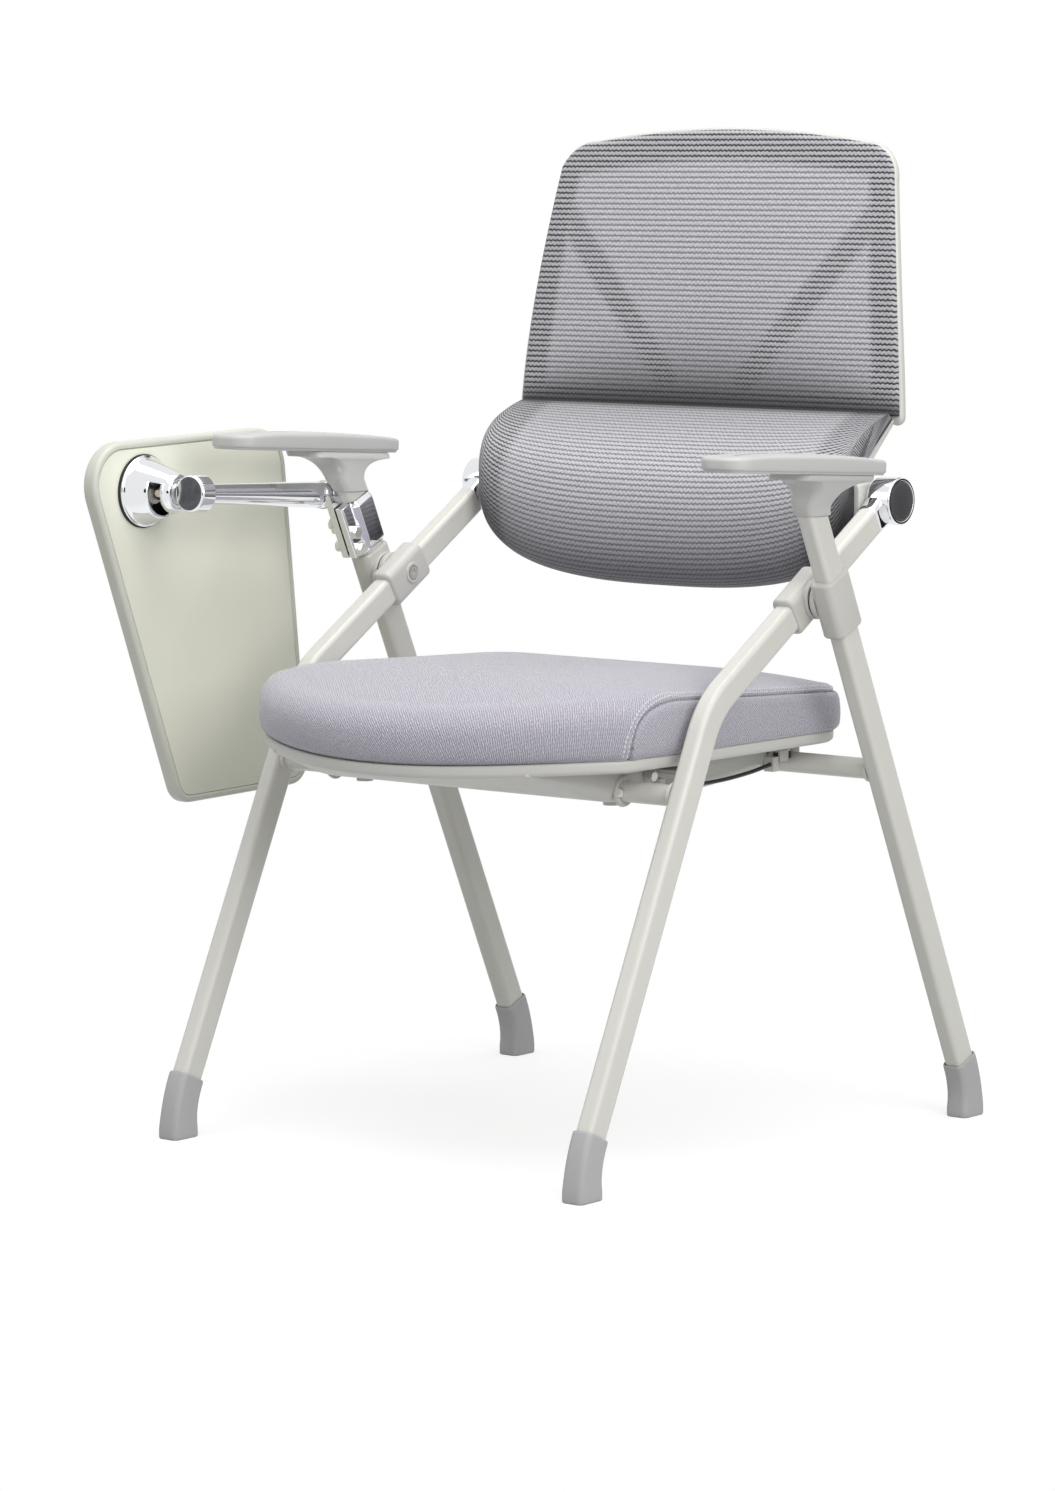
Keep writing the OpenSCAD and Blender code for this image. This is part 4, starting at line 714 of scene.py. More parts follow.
# %% The panel's cylinder and outline
panel_foot = np.array([227.0, 684.0])
panel_high, panel_corner, arch_rise = 266.0, 40.0, 13.0
panel_top = panel_foot[1] + panel_high
panel_r, panel_lean = 1530.0, math.radians(2.6)
panel_axis = panel_foot + panel_r * np.array([math.cos(panel_lean), -math.sin(panel_lean)])


def panel_at(z, behind=0.0):
    """[y, z] on the panel, the given distance behind its front face."""
    a = np.arcsin((np.asarray(z, float) - panel_axis[1]) / panel_r)
    out = np.stack([-np.cos(a), np.sin(a)], -1)
    return panel_axis + (panel_r - np.asarray(behind)[..., None]) * out


def panel_normal(z):
    """The way out of the panel's front face, as [0, y, z]."""
    a = np.arcsin((np.asarray(z, float) - panel_axis[1]) / panel_r)
    return np.stack([0 * a, -np.cos(a), np.sin(a)], -1)


def panel_half(z):
    """Half the panel's width at a height: it tapers towards the top by a power of the height."""
    climbed = np.clip(np.asarray(z, float) - panel_foot[1], 0, None) / panel_high
    return 235.0 - 35.0 * climbed ** 1.33


def panel_outline(i, z0):
    """[x, z] round the panel from the left foot over the top to the right foot, drawn in by i."""
    top, r = panel_top - i, panel_corner - i
    z = z0 + (top - r - z0) * np.linspace(0, 1, 60) ** 1.8
    side = np.column_stack([panel_half(z) - i, z])
    cx = panel_half(top - r) - i - r
    a = np.radians(np.linspace(0, 84, 18))[1:]
    arc = np.column_stack([cx + r * np.cos(a), top - r + r * np.sin(a)])
    e = np.linspace(0.985, 0, 34)
    arch = np.column_stack([cx * e, top + arch_rise * (1 - e ** 2)])
    half = np.vstack([side, arc, arch])
    return np.vstack([half * [-1, 1], half[::-1][1:]])


# %% Rails
RAIL_END = 8.0


def rail(line, width, thick, r, behind):
    """A rounded section along [x, z] points on the panel, drawn in at its ends on a quarter circle."""
    p = np.column_stack([line[:, 0], panel_at(line[:, 1], behind)])
    n = panel_normal(line[:, 1])
    b = np.cross(headings(p), n)
    b /= np.linalg.norm(b, axis=1)[:, None]
    s = round_box(width, thick, r, 5)
    distance = walked(p)
    near = np.minimum(distance, distance[-1] - distance) / RAIL_END
    k = quarter_round(np.maximum(near, 0.01))[:, None, None]
    return skin(p[:, None] + k * s[None, :, 0:1] * b[:, None] + k * s[None, :, 1:2] * n[:, None])


print("panel", panel_foot[1], "to", panel_top + arch_rise, "mm high")

# %% [markdown]
# The plate follows a bent line in side view. Its thickness falls to nothing along its edges on a
# quarter circle, which rounds them, and its two low corners are drawn up with the roll's foot. A
# round boss on each side takes the hinge.

# %% Plate behind the roll
roll_half, plate_half, plate_thin = 226.0, 225.0, 4.0
plate_bends = [[176, 521], [166, 600], [166, 628], [195, 654], [227, 684]]


def end_curve(x, power):
    """From 0 at the roll's middle to 1 at its ends: 1 - (1 - q^p)^(1/p), q the share of its half."""
    q = min(1.0, abs(x) / roll_half)
    return 1 - (1 - q ** power) ** (1 / power)


def roll_rise(x):
    """How far the roll's foot climbs towards its ends."""
    return 92.0 * end_curve(x, 2.8)


def plate_line():
    """Points and normals of the plate's middle, from its low edge up onto the panel."""
    p = fillet(np.vstack([plate_bends, panel_at(np.array([696.0, 706.0, 716.0]))]), 22, 10)
    distance = walked(p)
    even = np.linspace(0, distance[-1], 90)
    p = at_distance(p, distance, even)
    t = headings(p)
    n = np.column_stack([-t[:, 1], t[:, 0]])
    return p - n * plate_thin, n, even


def plate():
    """Rings across the chair: out along the front face and back along the rear face."""
    mid, n, s = plate_line()
    rows = []
    for x in plate_half * np.sin(np.radians(np.linspace(-90, 90, 121))):
        low = 2.0 + roll_rise(x)
        at = low + (s[-1] - low) * (0.5 - 0.5 * np.cos(np.linspace(0, math.pi, 70)))
        p, m = at_distance(mid, s, at), at_distance(n, s, at)
        h = plate_thin * quarter_round(np.minimum(at - low, s[-1] - at) / plate_thin)
        h *= quarter_round((plate_half - abs(x)) / plate_thin)
        ring = np.vstack([p + m * h[:, None], (p - m * h[:, None])[::-1]])
        rows.append(np.column_stack([np.full(len(ring), x), ring]))
    return skin(rows, ends=False)


boss_from, boss_to, boss_r = 209.1, 235.1, 17


def hinge_boss():
    """A round boss on the hinge's line, and the web that joins it to the plate."""
    drum = fillet([[boss_from, 0], [boss_from, boss_r], [boss_to, boss_r], [boss_to, 0]], 2.5, 5)
    web = []
    for i, along in soft_levels(21.9, 3.0, 5):
        s = round_box(2 * boss_r - 2 * i, 30, 4)
        web.append(np.column_stack([np.full(len(s), boss_from + along), hinge_at[0] - 13 + s[:, 1],
                                    hinge_at[1] + s[:, 0]]))
    return [skin(turn(drum, [0, *hinge_at], ALONG_X, 64)[1:-1]), skin(web)]


# %% Back moulding
RAIL_THICK, RAIL_BEHIND = 9, 4.5
rim_line = panel_outline(8, 676.0)
strut_line = np.column_stack([np.linspace(44, 203, 24), np.linspace(710, 893, 24)])
frame_parts = [plate(), rail(rim_line, 16, RAIL_THICK, 3.6, RAIL_BEHIND),
               rail(strut_line, 16.6, RAIL_THICK, 3.4, RAIL_BEHIND),
               rail(strut_line * [-1, 1], 16.6, RAIL_THICK, 3.4, RAIL_BEHIND)]
for part in hinge_boss():
    frame_parts += [part, flip(part)]
piece("back_moulding", frame_parts, "backrest", shell_plastic, ["back_frame"])

# %% [markdown]
# The lumbar roll is a foam sausage in the same knit. A simulated cushion would bulge where it
# likes, while the real foam is moulded, so its section is a smooth curve through a few shares of
# its height and depth. Its depth and foot draw in towards both ends by the power curve above,
# which keeps the middle straight and rounds the ends. Each point also carries how deep in shade
# its knit lies, under the belly, in the crease and at the ends.

# %% Lumbar roll
def roll_shade(x, along):
    """Shade from 0 to 1 by the distance from the ends and the share walked up the front."""
    from_end = roll_half - abs(x)
    edge = np.clip(1 - (from_end - 34) / 12, 0, 1)
    # Painted shade: under the belly, on the shoulder, in the crease, at the ends and over the frame.
    belly = 0.86 * np.clip(1 - along / 0.42, 0, 1)
    shoulder = 0.32 * np.clip((along - 0.6) / 0.35, 0, 1)
    crease = 0.85 * np.clip((along - 0.93) / 0.07, 0, 1)
    ends = 0.4 * np.clip(1 - from_end / 70, 0, 1) * np.clip(1 - along / 0.6, 0, 1)
    return edge, np.maximum(belly + shoulder, crease) + 0.14 * edge + ends


# The section's front as shares of its height and of its depth, and its back as [y, z].
up_share = np.array([0, .02, .08, .19, .34, .5, .65, .78, .89, .96, 1])
back_share = np.array([.9, .56, .23, .05, 0, .02, .11, .3, .58, .82, 1])
rear_y = np.array([165.0] * 4 + [218.0] * 7)
roll_rear = [[224.5, 682], [194, 656], [167, 631], [165, 600]]
roll_top, roll_cloth = 688.0, 232.0


def lumbar_roll():
    """Rings across the chair, each from the roll's foot up its front to the crease and back down."""
    rows, cloth, dark = [], [], []
    for x in roll_half * np.sin(np.radians(np.linspace(-90, 90, 161))):
        fore, low = 125 + 30 * end_curve(x, 3), 514 + roll_rise(x)
        front = smooth(np.column_stack([fore + back_share * (rear_y - fore),
                                        low + up_share * (roll_top - low)]), 76)
        ring = np.vstack([front, roll_rear, [[166, low]]])
        rows.append(np.column_stack([np.full(len(ring), x), ring]))
        distance = walked(front)
        along = np.concatenate([distance / distance[-1], np.ones(len(ring) - len(front))])
        cloth.append(np.column_stack([np.full(len(ring), x), 0 * along, along * roll_cloth]))
        edge, shade = roll_shade(x, along)
        shade[len(front):] = 0.3
        dark.append(np.column_stack([np.full(len(ring), edge), shade, 0 * along]))
    return skin(rows), np.vstack(cloth) / MM_IN_METRE, np.vstack(dark)


part, cloth, dark = lumbar_roll()
roll = piece("lumbar_roll", [part], "backrest", roll_knit, ["lumbar_pad"], sharp=60,
             fields={"knit": cloth, "behind": dark})

# %% [markdown]
# The panel's knit is one stretched sheet, so it needs no simulation: it lies where its frame holds
# it. Its grid runs from the crease to the arched top, and the last few millimetres of every edge
# turn back round the frame's rim. Where a rail or strut lies behind, the gaps between the ribs are
# painted dark as shade, so each point also carries how much frame is there, and how much painted
# shade darkens the knit above the crease and along the rim.

# %% Knit panel
def over_bar(x, z, a, b, half_width, soft):
    """1 over a straight bar from a to b, falling to 0 over a soft border."""
    a, b = np.asarray(a, float), np.asarray(b, float)
    t = np.clip(((x - a[0]) * (b - a)[0] + (z - a[1]) * (b - a)[1]) / ((b - a) @ (b - a)), 0, 1)
    d = np.hypot(x - a[0] - t * (b - a)[0], z - a[1] - t * (b - a)[1])
    return np.clip((half_width + soft - d) / (2 * soft), 0, 1)


RIM_SEEN, PLATE_SEEN = 36.0, 22
strut_low, strut_high = (49, 716), (199, 888)


def frame_behind(x, z, rim, foot):
    """How much frame lies behind a point: near the rim, low down by the plate, or over a strut."""
    # This mask sets where the knit's gaps are painted dark, as painted shade.
    border = np.clip((RIM_SEEN - rim) / 8.0, 0, 1)
    border = np.maximum(border, np.clip((PLATE_SEEN - (z - foot)) / 6.0, 0, 1))
    for side in ((-1, 1), (1, 1)):
        strut = over_bar(x, z, np.multiply(side, strut_low), np.multiply(side, strut_high), 13.0, 4.0)
        border = np.maximum(border, 0.8 * strut)
    return border


def knit_panel(cols=241, rows=141):
    """x = share across times half width; height = foot + share up times the outline's height."""
    u = np.linspace(-1, 1, cols)[None, :]
    v = np.linspace(0, 1, rows)[:, None]
    foot, shoulder, drawn = 685.0, panel_top - panel_corner, 1.5
    half = panel_half(foot + v * (shoulder - foot)) - drawn
    x = u * half
    r = panel_corner - drawn
    shoulder_half = panel_half(shoulder) - drawn
    corner = shoulder_half - r
    over = np.clip(np.abs(u * shoulder_half) - corner, 0, r)
    top = np.where(over > 0, shoulder + np.sqrt(r ** 2 - over ** 2),
                   panel_top - drawn + arch_rise * (1 - (u * shoulder_half / corner) ** 2))
    z = foot + v * (top - foot)
    rim = np.minimum(half - np.abs(x), top - z)
    turned_back = 4.6 * np.clip(1 - rim / 7.0, 0, 1) ** 2
    points = np.concatenate([x[..., None], panel_at(z, turned_back - 3.0)], -1)
    cloth = np.stack([x, 0 * x, z - foot], -1) / MM_IN_METRE
    border = frame_behind(x, z, rim, foot)
    # Painted shade: dark just above the crease, deepest in the middle, and a little over the frame.
    crease = 0.97 * np.exp(-((z - foot) / (17.0 + 32.0 * (1 - u ** 2))) ** 1.6)
    dark = np.stack([border, np.maximum(crease, 0.2 * border), 0 * border], -1)
    faces = ring_quads(rows, cols, closed=False).tolist()
    return (points.reshape(-1, 3), faces), cloth.reshape(-1, 3), dark.reshape(-1, 3)


part, cloth, dark = knit_panel()
panel = piece("knit_panel", [part], "backrest", panel_knit, ["back_mesh"], sharp=180,
              fields={"knit": cloth, "behind": dark})
wall = panel.modifiers.new("wall", "SOLIDIFY")
wall.thickness = 0.0012
wall.offset = -1

# %% [markdown]
# ## The seat
# The cushion is crowned foam under a tight cover. Its outline, seen from above, is a shallow arc
# at the nose, straight sides and round rear corners. Two functions say how the shoulder falls and
# how the foot sags at the nose, so that the pan below can follow the same line.

# %% Seat outline
seat_half, seat_nose, seat_corner, seat_rear, seat_mid = 226.0, -300.0, -191.0, 172.0, -64.0
rear_round, crest_y = 46.0, -134.0


def seat_outline(n):
    """[x, y] evenly round the seat from the middle of the nose: arc, side, corner, rear, mirrored."""
    nose_rise = seat_corner - seat_nose
    cx = seat_half - 4
    r = (cx ** 2 + nose_rise ** 2) / (2 * nose_rise)
    a = np.linspace(0, math.asin(cx / r), 60)
    nose = np.column_stack([r * np.sin(a), seat_nose + r * (1 - np.cos(a))])
    turn_in = smooth([[seat_half - 6.5, seat_corner - 3.5], [seat_half - 1.2, seat_corner + 9],
                      [seat_half, seat_corner + 40]], 12)
    side = np.column_stack([np.full(20, seat_half),
                            np.linspace(seat_corner + 60, seat_rear - rear_round, 20)])
    a = np.radians(np.linspace(0, 90, 24))
    corner = np.column_stack([seat_half - rear_round + rear_round * np.cos(a),
                              seat_rear - rear_round + rear_round * np.sin(a)])
    half = np.vstack([nose[:-3], turn_in, side, corner])
    return resample(np.vstack([half, half[::-1] * [-1, 1]]), n)


def drawn_in(p, d):
    """Points moved towards the seat's middle so that the sides come in by d."""
    k = 1 - np.asarray(d)[..., None] / seat_half
    return np.array([0, seat_mid]) + (p - [0, seat_mid]) * k


def nose_share(y, start):
    """From 0 behind the start to 1 at the nose."""
    return np.clip((start - y) / (start - seat_nose), 0, 1)


def seam_height(y):
    """Height of the cushion's shoulder: it falls slowly to the rear and quickly at the nose."""
    return 446.0 - 0.047 * np.clip(y - crest_y, 0, None) - 12.0 * nose_share(y, crest_y) ** 2


def nose_dip(x, y):
    """How far the cushion's foot and the pan's rim sag towards the middle of the nose."""
    middle = np.clip(1 - (x / seat_half) ** 2, 0, 1)
    return 8.0 * nose_share(y, -150.0) ** 1.4 * middle ** 0.7


print("seat", 2 * seat_half, "by", seat_rear - seat_nose, "mm")

# %% [markdown]
# Foam under a tight cover could be blown up by a simulation, but then the seam would lie where the
# cloth lets it. So rings climb the side on a smooth curve of shares, and the crown's rings shrink
# towards the middle while their height follows 1 - e^4, nearly flat with a soft fall at the edge.

# %% Cushion
edge_points, side_rows, crown_rows = 600, 40, 34
side_draw = [.24, .05, 0, .06, .25, .55, 1]
side_climb = [0, .1, .35, .62, .82, .94, 1]


def cushion_grid():
    """Rows of rings (rows, points, 3): the side from the pan up, then the crown inwards."""
    p = seat_outline(edge_points)
    width = 15.0 + 27.0 * nose_share(p[:, 1], crest_y)
    foot, shoulder = 388.3 - nose_dip(p[:, 0], p[:, 1]), seam_height(p[:, 1])
    rows = [np.column_stack([drawn_in(p, draw * width), foot + climb * (shoulder - foot)])
            for draw, climb in smooth(np.column_stack([side_draw, side_climb]), side_rows)]
    top = rows[-1]
    for e in 1 - np.linspace(0, 1, crown_rows + 1)[1:] ** 1.25:
        y = seat_mid + (top[:, 1] - seat_mid) * e
        z = shoulder * e * e + seam_height(seat_mid) * (1 - e * e) + 11.0 * (1 - e ** 4)
        rows.append(np.column_stack([top[:, 0] * e, y, z]))
    return p, np.array(rows)


def grid_normals(grid):
    """Unit normals of a grid whose columns close round the piece."""
    across = np.roll(grid, -1, 1) - np.roll(grid, 1, 1)
    n = np.cross(across, np.gradient(grid, axis=0))
    return n / np.maximum(np.linalg.norm(n, axis=2, keepdims=True), 1e-9)


outline, grid = cushion_grid()
print("cushion points", grid.shape[:2])

# %% [markdown]
# The cover has one panel over the nose and top, and a boxing strip round each side. The seam
# climbs at the front corner and then runs back under the shoulder. It is worked out on the flat
# grid of s, the length along the seat's edge from the middle of the nose, by w, the length up the
# cover from its foot.

# %% Lengths on the cover
half_edge = edge_points // 2
step = np.linalg.norm(np.roll(outline, -1, 0) - outline, axis=1).mean()
edge_long = step * edge_points
s_of = step * np.arange(edge_points)
s_of = np.minimum(s_of, edge_long - s_of)
w_of = np.concatenate([np.zeros((1, edge_points)),
                       np.cumsum(np.linalg.norm(np.diff(grid, axis=0), axis=2), axis=0)])
corner_y, seam_below = -184, 7.0
on_side = outline[:half_edge, 0] >= 100
corner_at = int(np.argmin(np.where(on_side, np.abs(outline[:half_edge, 1] - corner_y), 999)))
s_corner = s_of[corner_at]
w_seam = np.array([np.interp(seam_height(outline[c, 1]) - seam_below, grid[:side_rows, c, 2],
                             w_of[:side_rows, c]) for c in range(edge_points)])
# Steps in s and w from the seam's level line back down to the pan, where it climbs the corner.
seam_bend = [(-4.0, -60.0), (-3.2, -44.0), (-1.6, -35.0), (1.2, -27.0), (6.0, -19.5), (13.0, -13.5),
             (23.0, -8.2), (36.0, -4.2), (51.0, -1.5), (66.0, 0.0)]
level_from = s_corner + seam_bend[-1][0]
print("seam starts", round(float(s_corner)), "mm along the edge")

# %% [markdown]
# The seam pulls the foam in along a narrow bell curve, and the foam puffs up a little beside it.
# The twill's attribute follows the cut of the cloth: the top panel reads the place from above and
# runs on down the nose, and the boxing reads s and w. Cutting real panels and sewing them by
# simulation would look the same at this distance, and takes minutes where this takes a moment.

# %% Seam and cover
def seam_distance(s, w, ws):
    """Distance on the cover from the seam: a bent line up the corner, then level to the rear."""
    line = [np.stack([np.full_like(ws, s_corner + ds), np.maximum(ws + dw, -6.0)], -1)
            for ds, dw in seam_bend]
    q = np.stack([s, w], -1)
    best = np.full(s.shape, 1e9)
    for m, n in zip(line, line[1:]):
        along = n - m
        t = np.clip(np.sum((q - m) * along, -1) / np.sum(along * along, -1), 0, 1)
        best = np.minimum(best, np.linalg.norm(q - m - t[..., None] * along, axis=-1))
    return np.minimum(best, np.where(s > level_from, np.abs(w - ws), 1e9))


s_grid = np.broadcast_to(s_of, w_of.shape)
ws_grid = np.broadcast_to(w_seam, w_of.shape)
away = seam_distance(s_grid, w_of, ws_grid)
groove = 1.9 * np.exp(-(away / 1.7) ** 2)
puff = 0.9 * np.exp(-((away - 6.5) / 4.5) ** 2)
near_side = (w_of < w_of[side_rows] + 30)[..., None]
cover = grid - grid_normals(grid) * np.clip(groove - puff, -0.6, 3)[..., None] * near_side

# %% Cloth coordinates and the cushion
bend_s, bend_w = np.array(seam_bend).T
boxing = (s_grid > s_corner - 4) & (w_of < ws_grid + np.interp(s_grid - s_corner, bend_s, bend_w))
outward = outline - [0, seat_mid]
outward /= np.linalg.norm(outward, axis=1)[:, None]
drop = np.clip(w_of[side_rows - 1] - w_of, 0, None)[..., None]
is_side = (np.arange(len(grid)) < side_rows)[:, None, None]
cloth = np.where(is_side, grid[side_rows - 1, :, :2] + outward * drop, grid[..., :2])
cloth = np.where(boxing[..., None], np.stack([s_grid, w_of], -1), cloth)
cloth = np.concatenate([cloth, np.zeros(cloth.shape[:2] + (1,))], -1) / MM_IN_METRE
seam_dark = np.exp(-(away / 0.9) ** 2)
seat = piece("seat_pad", [skin(cover)], "seat", seat_twill, ["seat_cushion"], sharp=70,
             weld=False, fields={"cloth": cloth.reshape(-1, 3),
                                 "seam": np.repeat(seam_dark.reshape(-1, 1), 3, 1)})

# %% [markdown]
# Two rows of topstitch run beside the seam on the panel's side. They could be a bump in the
# twill, but they catch the light one by one, so each stitch is a short thread of its own with only
# three rings, laid on the cover by its s and w.

# %% Topstitch
STITCH_PITCH, THREAD_R = 4.6, 0.5
stitch_marks = np.array([0, 1.6, 3.2])


def thread(line, sides=6):
    """A thin tube along three points, drawn in at both ends."""
    t = headings(line)
    u = np.cross(t, [0.3, 0.1, 0.95])
    u /= np.linalg.norm(u, axis=1)[:, None]
    v = np.cross(t, u)
    a = 2 * np.pi * np.arange(sides) / sides
    grow = np.array([0.4, 1.15, 0.4])[:, None, None]
    ring = np.cos(a)[None, :, None] * u[:, None] + np.sin(a)[None, :, None] * v[:, None]
    return skin(line[:, None] + THREAD_R * grow * ring)


def on_cover(s, w, side):
    """The point on the cover at an edge length and a length up the side, between two columns."""
    column = s / step if side > 0 else edge_points - s / step
    first = int(column) % edge_points
    t = column - math.floor(column)
    a, b = [np.array([np.interp(w, w_of[:, c], cover[:, c, axis]) for axis in range(3)])
            for c in (first, (first + 1) % edge_points)]
    return a * (1 - t) + b * t


def stitch_line(offset):
    """The seam's line as [s, w], moved sideways by the offset onto the panel's side of it."""
    bend = np.array(seam_bend)
    ahead = headings(bend)
    bend = bend + offset * np.column_stack([-ahead[:, 1], ahead[:, 0]])
    corner_w = float(w_seam[corner_at])
    line = [(s_corner + bend[0, 0], 3.0)] + [(s_corner + ds, corner_w + dw) for ds, dw in bend[1:]]
    for s in np.arange(level_from + 8, edge_long / 2 - 60, 8):
        line.append((s, float(np.interp(s, s_of[:half_edge], w_seam[:half_edge])) + offset))
    return fillet(line, 3, 3)


def stitches(offset):
    """Short threads at an even pitch along the stitch line, on both sides of the seat."""
    line = stitch_line(offset)
    distance = walked(line)
    starts = np.arange(2, distance[-1] - 5, STITCH_PITCH)
    return [thread(np.array([on_cover(s, w, side) for s, w in
                             at_distance(line, distance, start + stitch_marks)]))
            for side in (1, -1) for start in starts]


threads = stitches(3.0) + stitches(7.6)
piece("seat_topstitch", threads, "seat", stitch_thread, weld=False)
print("stitches", len(threads))

# %% [markdown]
# Under the cushion lies a moulded pan: a tray with a soft rim that shows as a pale line round the
# seat, a shallow belly that carries the front bar, and a cradle on each side that rests on the rear
# one. Tray and belly are rings, one set round the seat and one across it, and a cradle is a flat
# outline with rounded rims.

# %% Pan
# How far each ring is drawn in from the seat's outline, and its height, from below to the inside.
tray_rings = [(150, 376.4), (60, 376.4), (16, 376.3), (9.4, 376.2), (7.2, 376.8), (5.6, 378.4),
              (4.9, 380.8), (4.8, 384.5), (5.0, 386.7), (6.0, 387.9), (7.6, 388.2), (12.0, 388.2),
              (12.6, 387.2), (13.0, 382)]
RIM_REACH, BELLY_HALF, BELLY_TOP = 30, 174.0, 376.8


def tray():
    """Rings on the seat's outline; those of the rim sag at the nose with the cushion's foot."""
    p = seat_outline(240)
    dip = nose_dip(p[:, 0], p[:, 1])
    return skin([np.column_stack([drawn_in(p, d), z - dip * (d < RIM_REACH)])
                 for d, z in tray_rings])


def belly():
    """Rings across the chair along y: a flat-bottomed section whose depth follows a bent line."""
    line = fillet([[-251, 374.6], [-150, 340], [0, 340], [93, 350.5], [96, 354]], 30, 10)
    line = np.vstack([line, [96.0, 376.0]])
    p = seat_outline(800)
    rows = []
    for y, z in line:
        near = np.abs(p[:, 1] - y) < 2.5
        wide = min(BELLY_HALF, float(np.abs(p[near, 0]).max()) - 9.0) if y < -150 else BELLY_HALF
        r = max(0.3, min(13.0, (376.6 - z) * 0.6))
        a = np.radians(np.linspace(0, 90, 9))
        low = np.column_stack([wide - r + r * np.cos(a), z + r - r * np.sin(a)])
        half = np.vstack([[[wide, BELLY_TOP]], low])
        ring = np.vstack([half, half[::-1] * [-1, 1]])
        rows.append(np.column_stack([ring[:, 0], np.full(len(ring), y), ring[:, 1]]))
    return skin(rows)


def slab(line, x0, x1, edge):
    """A flat outline of [y, z] points carried from x0 out to x1 with rounded rims."""
    rows = []
    for i, along in soft_levels(x1 - x0, edge, 3):
        rows.append(np.column_stack([np.full(len(line), x0 + along), inset(line, i)]))
    return skin(rows)


# %% Cradles and the whole pan
rear_bar, front_bar = rear_at(355.0), front_at(352.0)
open_angles = np.linspace(0.05, math.pi - 0.05, 20)
bar_arch = [[rear_bar[0] - 11.6 * math.cos(t), rear_bar[1] + 11.6 * math.sin(t)] for t in open_angles]
cradle_line = ([[92, 352.6], [rear_bar[0] - 17.5, 352.6], [rear_bar[0] - 14.6, 353.2]] + bar_arch
               + [[rear_bar[0] + 14.0, 353.2], [146.5, 354.4], [147, 376.4], [92, 376.4]])
cradle = slab(resample(np.array(cradle_line), 90), 169.6, 174.0, 0.7)
ring_profile = fillet([[173.6, 10.2], [173.6, 15.2], [177.2, 14.2], [177.2, 10.2]], 1.2, 5)
bar_ring = skin(turn(ring_profile, [0, *front_bar], ALONG_X, 64), ends=False)
piece("seat_shell", [tray(), belly(), cradle, flip(cradle), bar_ring, flip(bar_ring)], "seat",
      shell_plastic, ["seat_pan"])

# %% [markdown]
# ## The arms
# An arm pad is a moulded bar, thickest in the middle. A block with a bevel would be flat on top, so
# its top is the lower of two crowns, one along it and one across it, which meet in a soft ridge.
# The pad is worked out lying flat and then tilted nose up onto its support.

# %% Arm pads
pad_out, pad_fore, pad_rise = 296.0, -35.0, 645.005
PAD_WIDE, PAD_LONG, PAD_CORNER, PAD_EDGE = 53, 244, 19, 3.6
tilt = math.radians(3.2)


def on_pad(local):
    """Points from the pad's own frame (across, along, up) to the chair, tilted nose up."""
    x, y, z = np.moveaxis(np.asarray(local, float), -1, 0)
    return np.stack([pad_out + x, pad_fore + y * math.cos(tilt) + z * math.sin(tilt),
                     pad_rise - y * math.sin(tilt) + z * math.cos(tilt)], -1)


def pad_top(x, y):
    """Height of the pad: the lower of 19 - y^2 / 2500 and 19.8 - x^2 / 260, blended over k."""
    along, across = 19.0 - y ** 2 / 2500.0, 19.8 - x ** 2 / 260.0
    k = 1.2
    return -k * np.log(np.exp(-along / k) + np.exp(-across / k)) + 0.25


def arm_pad():
    """Rings on the pad's rounded outline: under face, lip, side, rounded shoulder, crowned top."""
    outline = resample(round_box(PAD_WIDE, PAD_LONG, PAD_CORNER, 12), 220)
    a = np.radians(np.linspace(0, 90, 7))
    low = [(18, 0.0), (10, 0.0), (5, 0.0)]
    low += [(3.2 - 1.2 * math.sin(t), 1.2 - 1.2 * math.cos(t)) for t in a]
    low += [(1.9, 1.9), (0.7, 2.4), (0.15, 3.1), (0.0, 4.2)]
    rows = [np.column_stack([inset(outline, i), np.full(len(outline), z)]) for i, z in low]
    shoulder = [(PAD_EDGE - PAD_EDGE * math.cos(t), t) for t in a]
    crown = [(i, math.pi / 2) for i in (4.6, 6, 8, 10.5, 13.5, 17, 21, 25)]
    for i, t in shoulder + crown:
        ring = inset(outline, i)
        top = pad_top(ring[:, 0], ring[:, 1])
        rows.append(np.column_stack([ring, top - PAD_EDGE + PAD_EDGE * math.sin(t)]))
    points, faces = skin(rows)
    return on_pad(points), faces


both_sides("arm_rest", [arm_pad()], "rear_frame", pad_plastic, "arm_pad")

# %% [markdown]
# The pad's support is a sleeve on the rear tube's end that flares into a long narrow table. Its
# fore edge and its aft edge each run straight up the tube and then out on a quadratic curve, and
# every ring spans the two, so the flare has no seam between sleeve and table.

# %% Arm supports
SLEEVE_DEEP, STRAIGHT = 32.2, 12


def under_pad(y):
    """Height of the pad's underside, which falls towards the rear at the pad's tilt."""
    return pad_rise - math.tan(tilt) * (y - pad_fore)


def bracket_edge(sign, reach):
    """[y, z] points: (1-t)^2 bend + 2t(1-t) corner + t^2 end, above a straight foot on the tube."""
    slope = np.array([-math.tan(rear_lean), 1.0])
    foot = rear_at(603.0)
    start = foot + [sign * SLEEVE_DEEP / 2 / math.cos(rear_lean), 0]
    bend = start + STRAIGHT * slope
    y = foot[0] + sign * reach
    tip = np.array([y, under_pad(y)])
    end = tip - [0, 6]
    corner = np.array([bend[0], end[1]])
    t = np.linspace(0, 1, 16)[1:, None]
    curve = (1 - t) ** 2 * bend + 2 * t * (1 - t) * corner + t ** 2 * end
    return np.vstack([start, start + 0.8 * slope, start + 6 * slope, bend, curve,
                      tip - [0, 3], tip - [0, 0.4], tip])


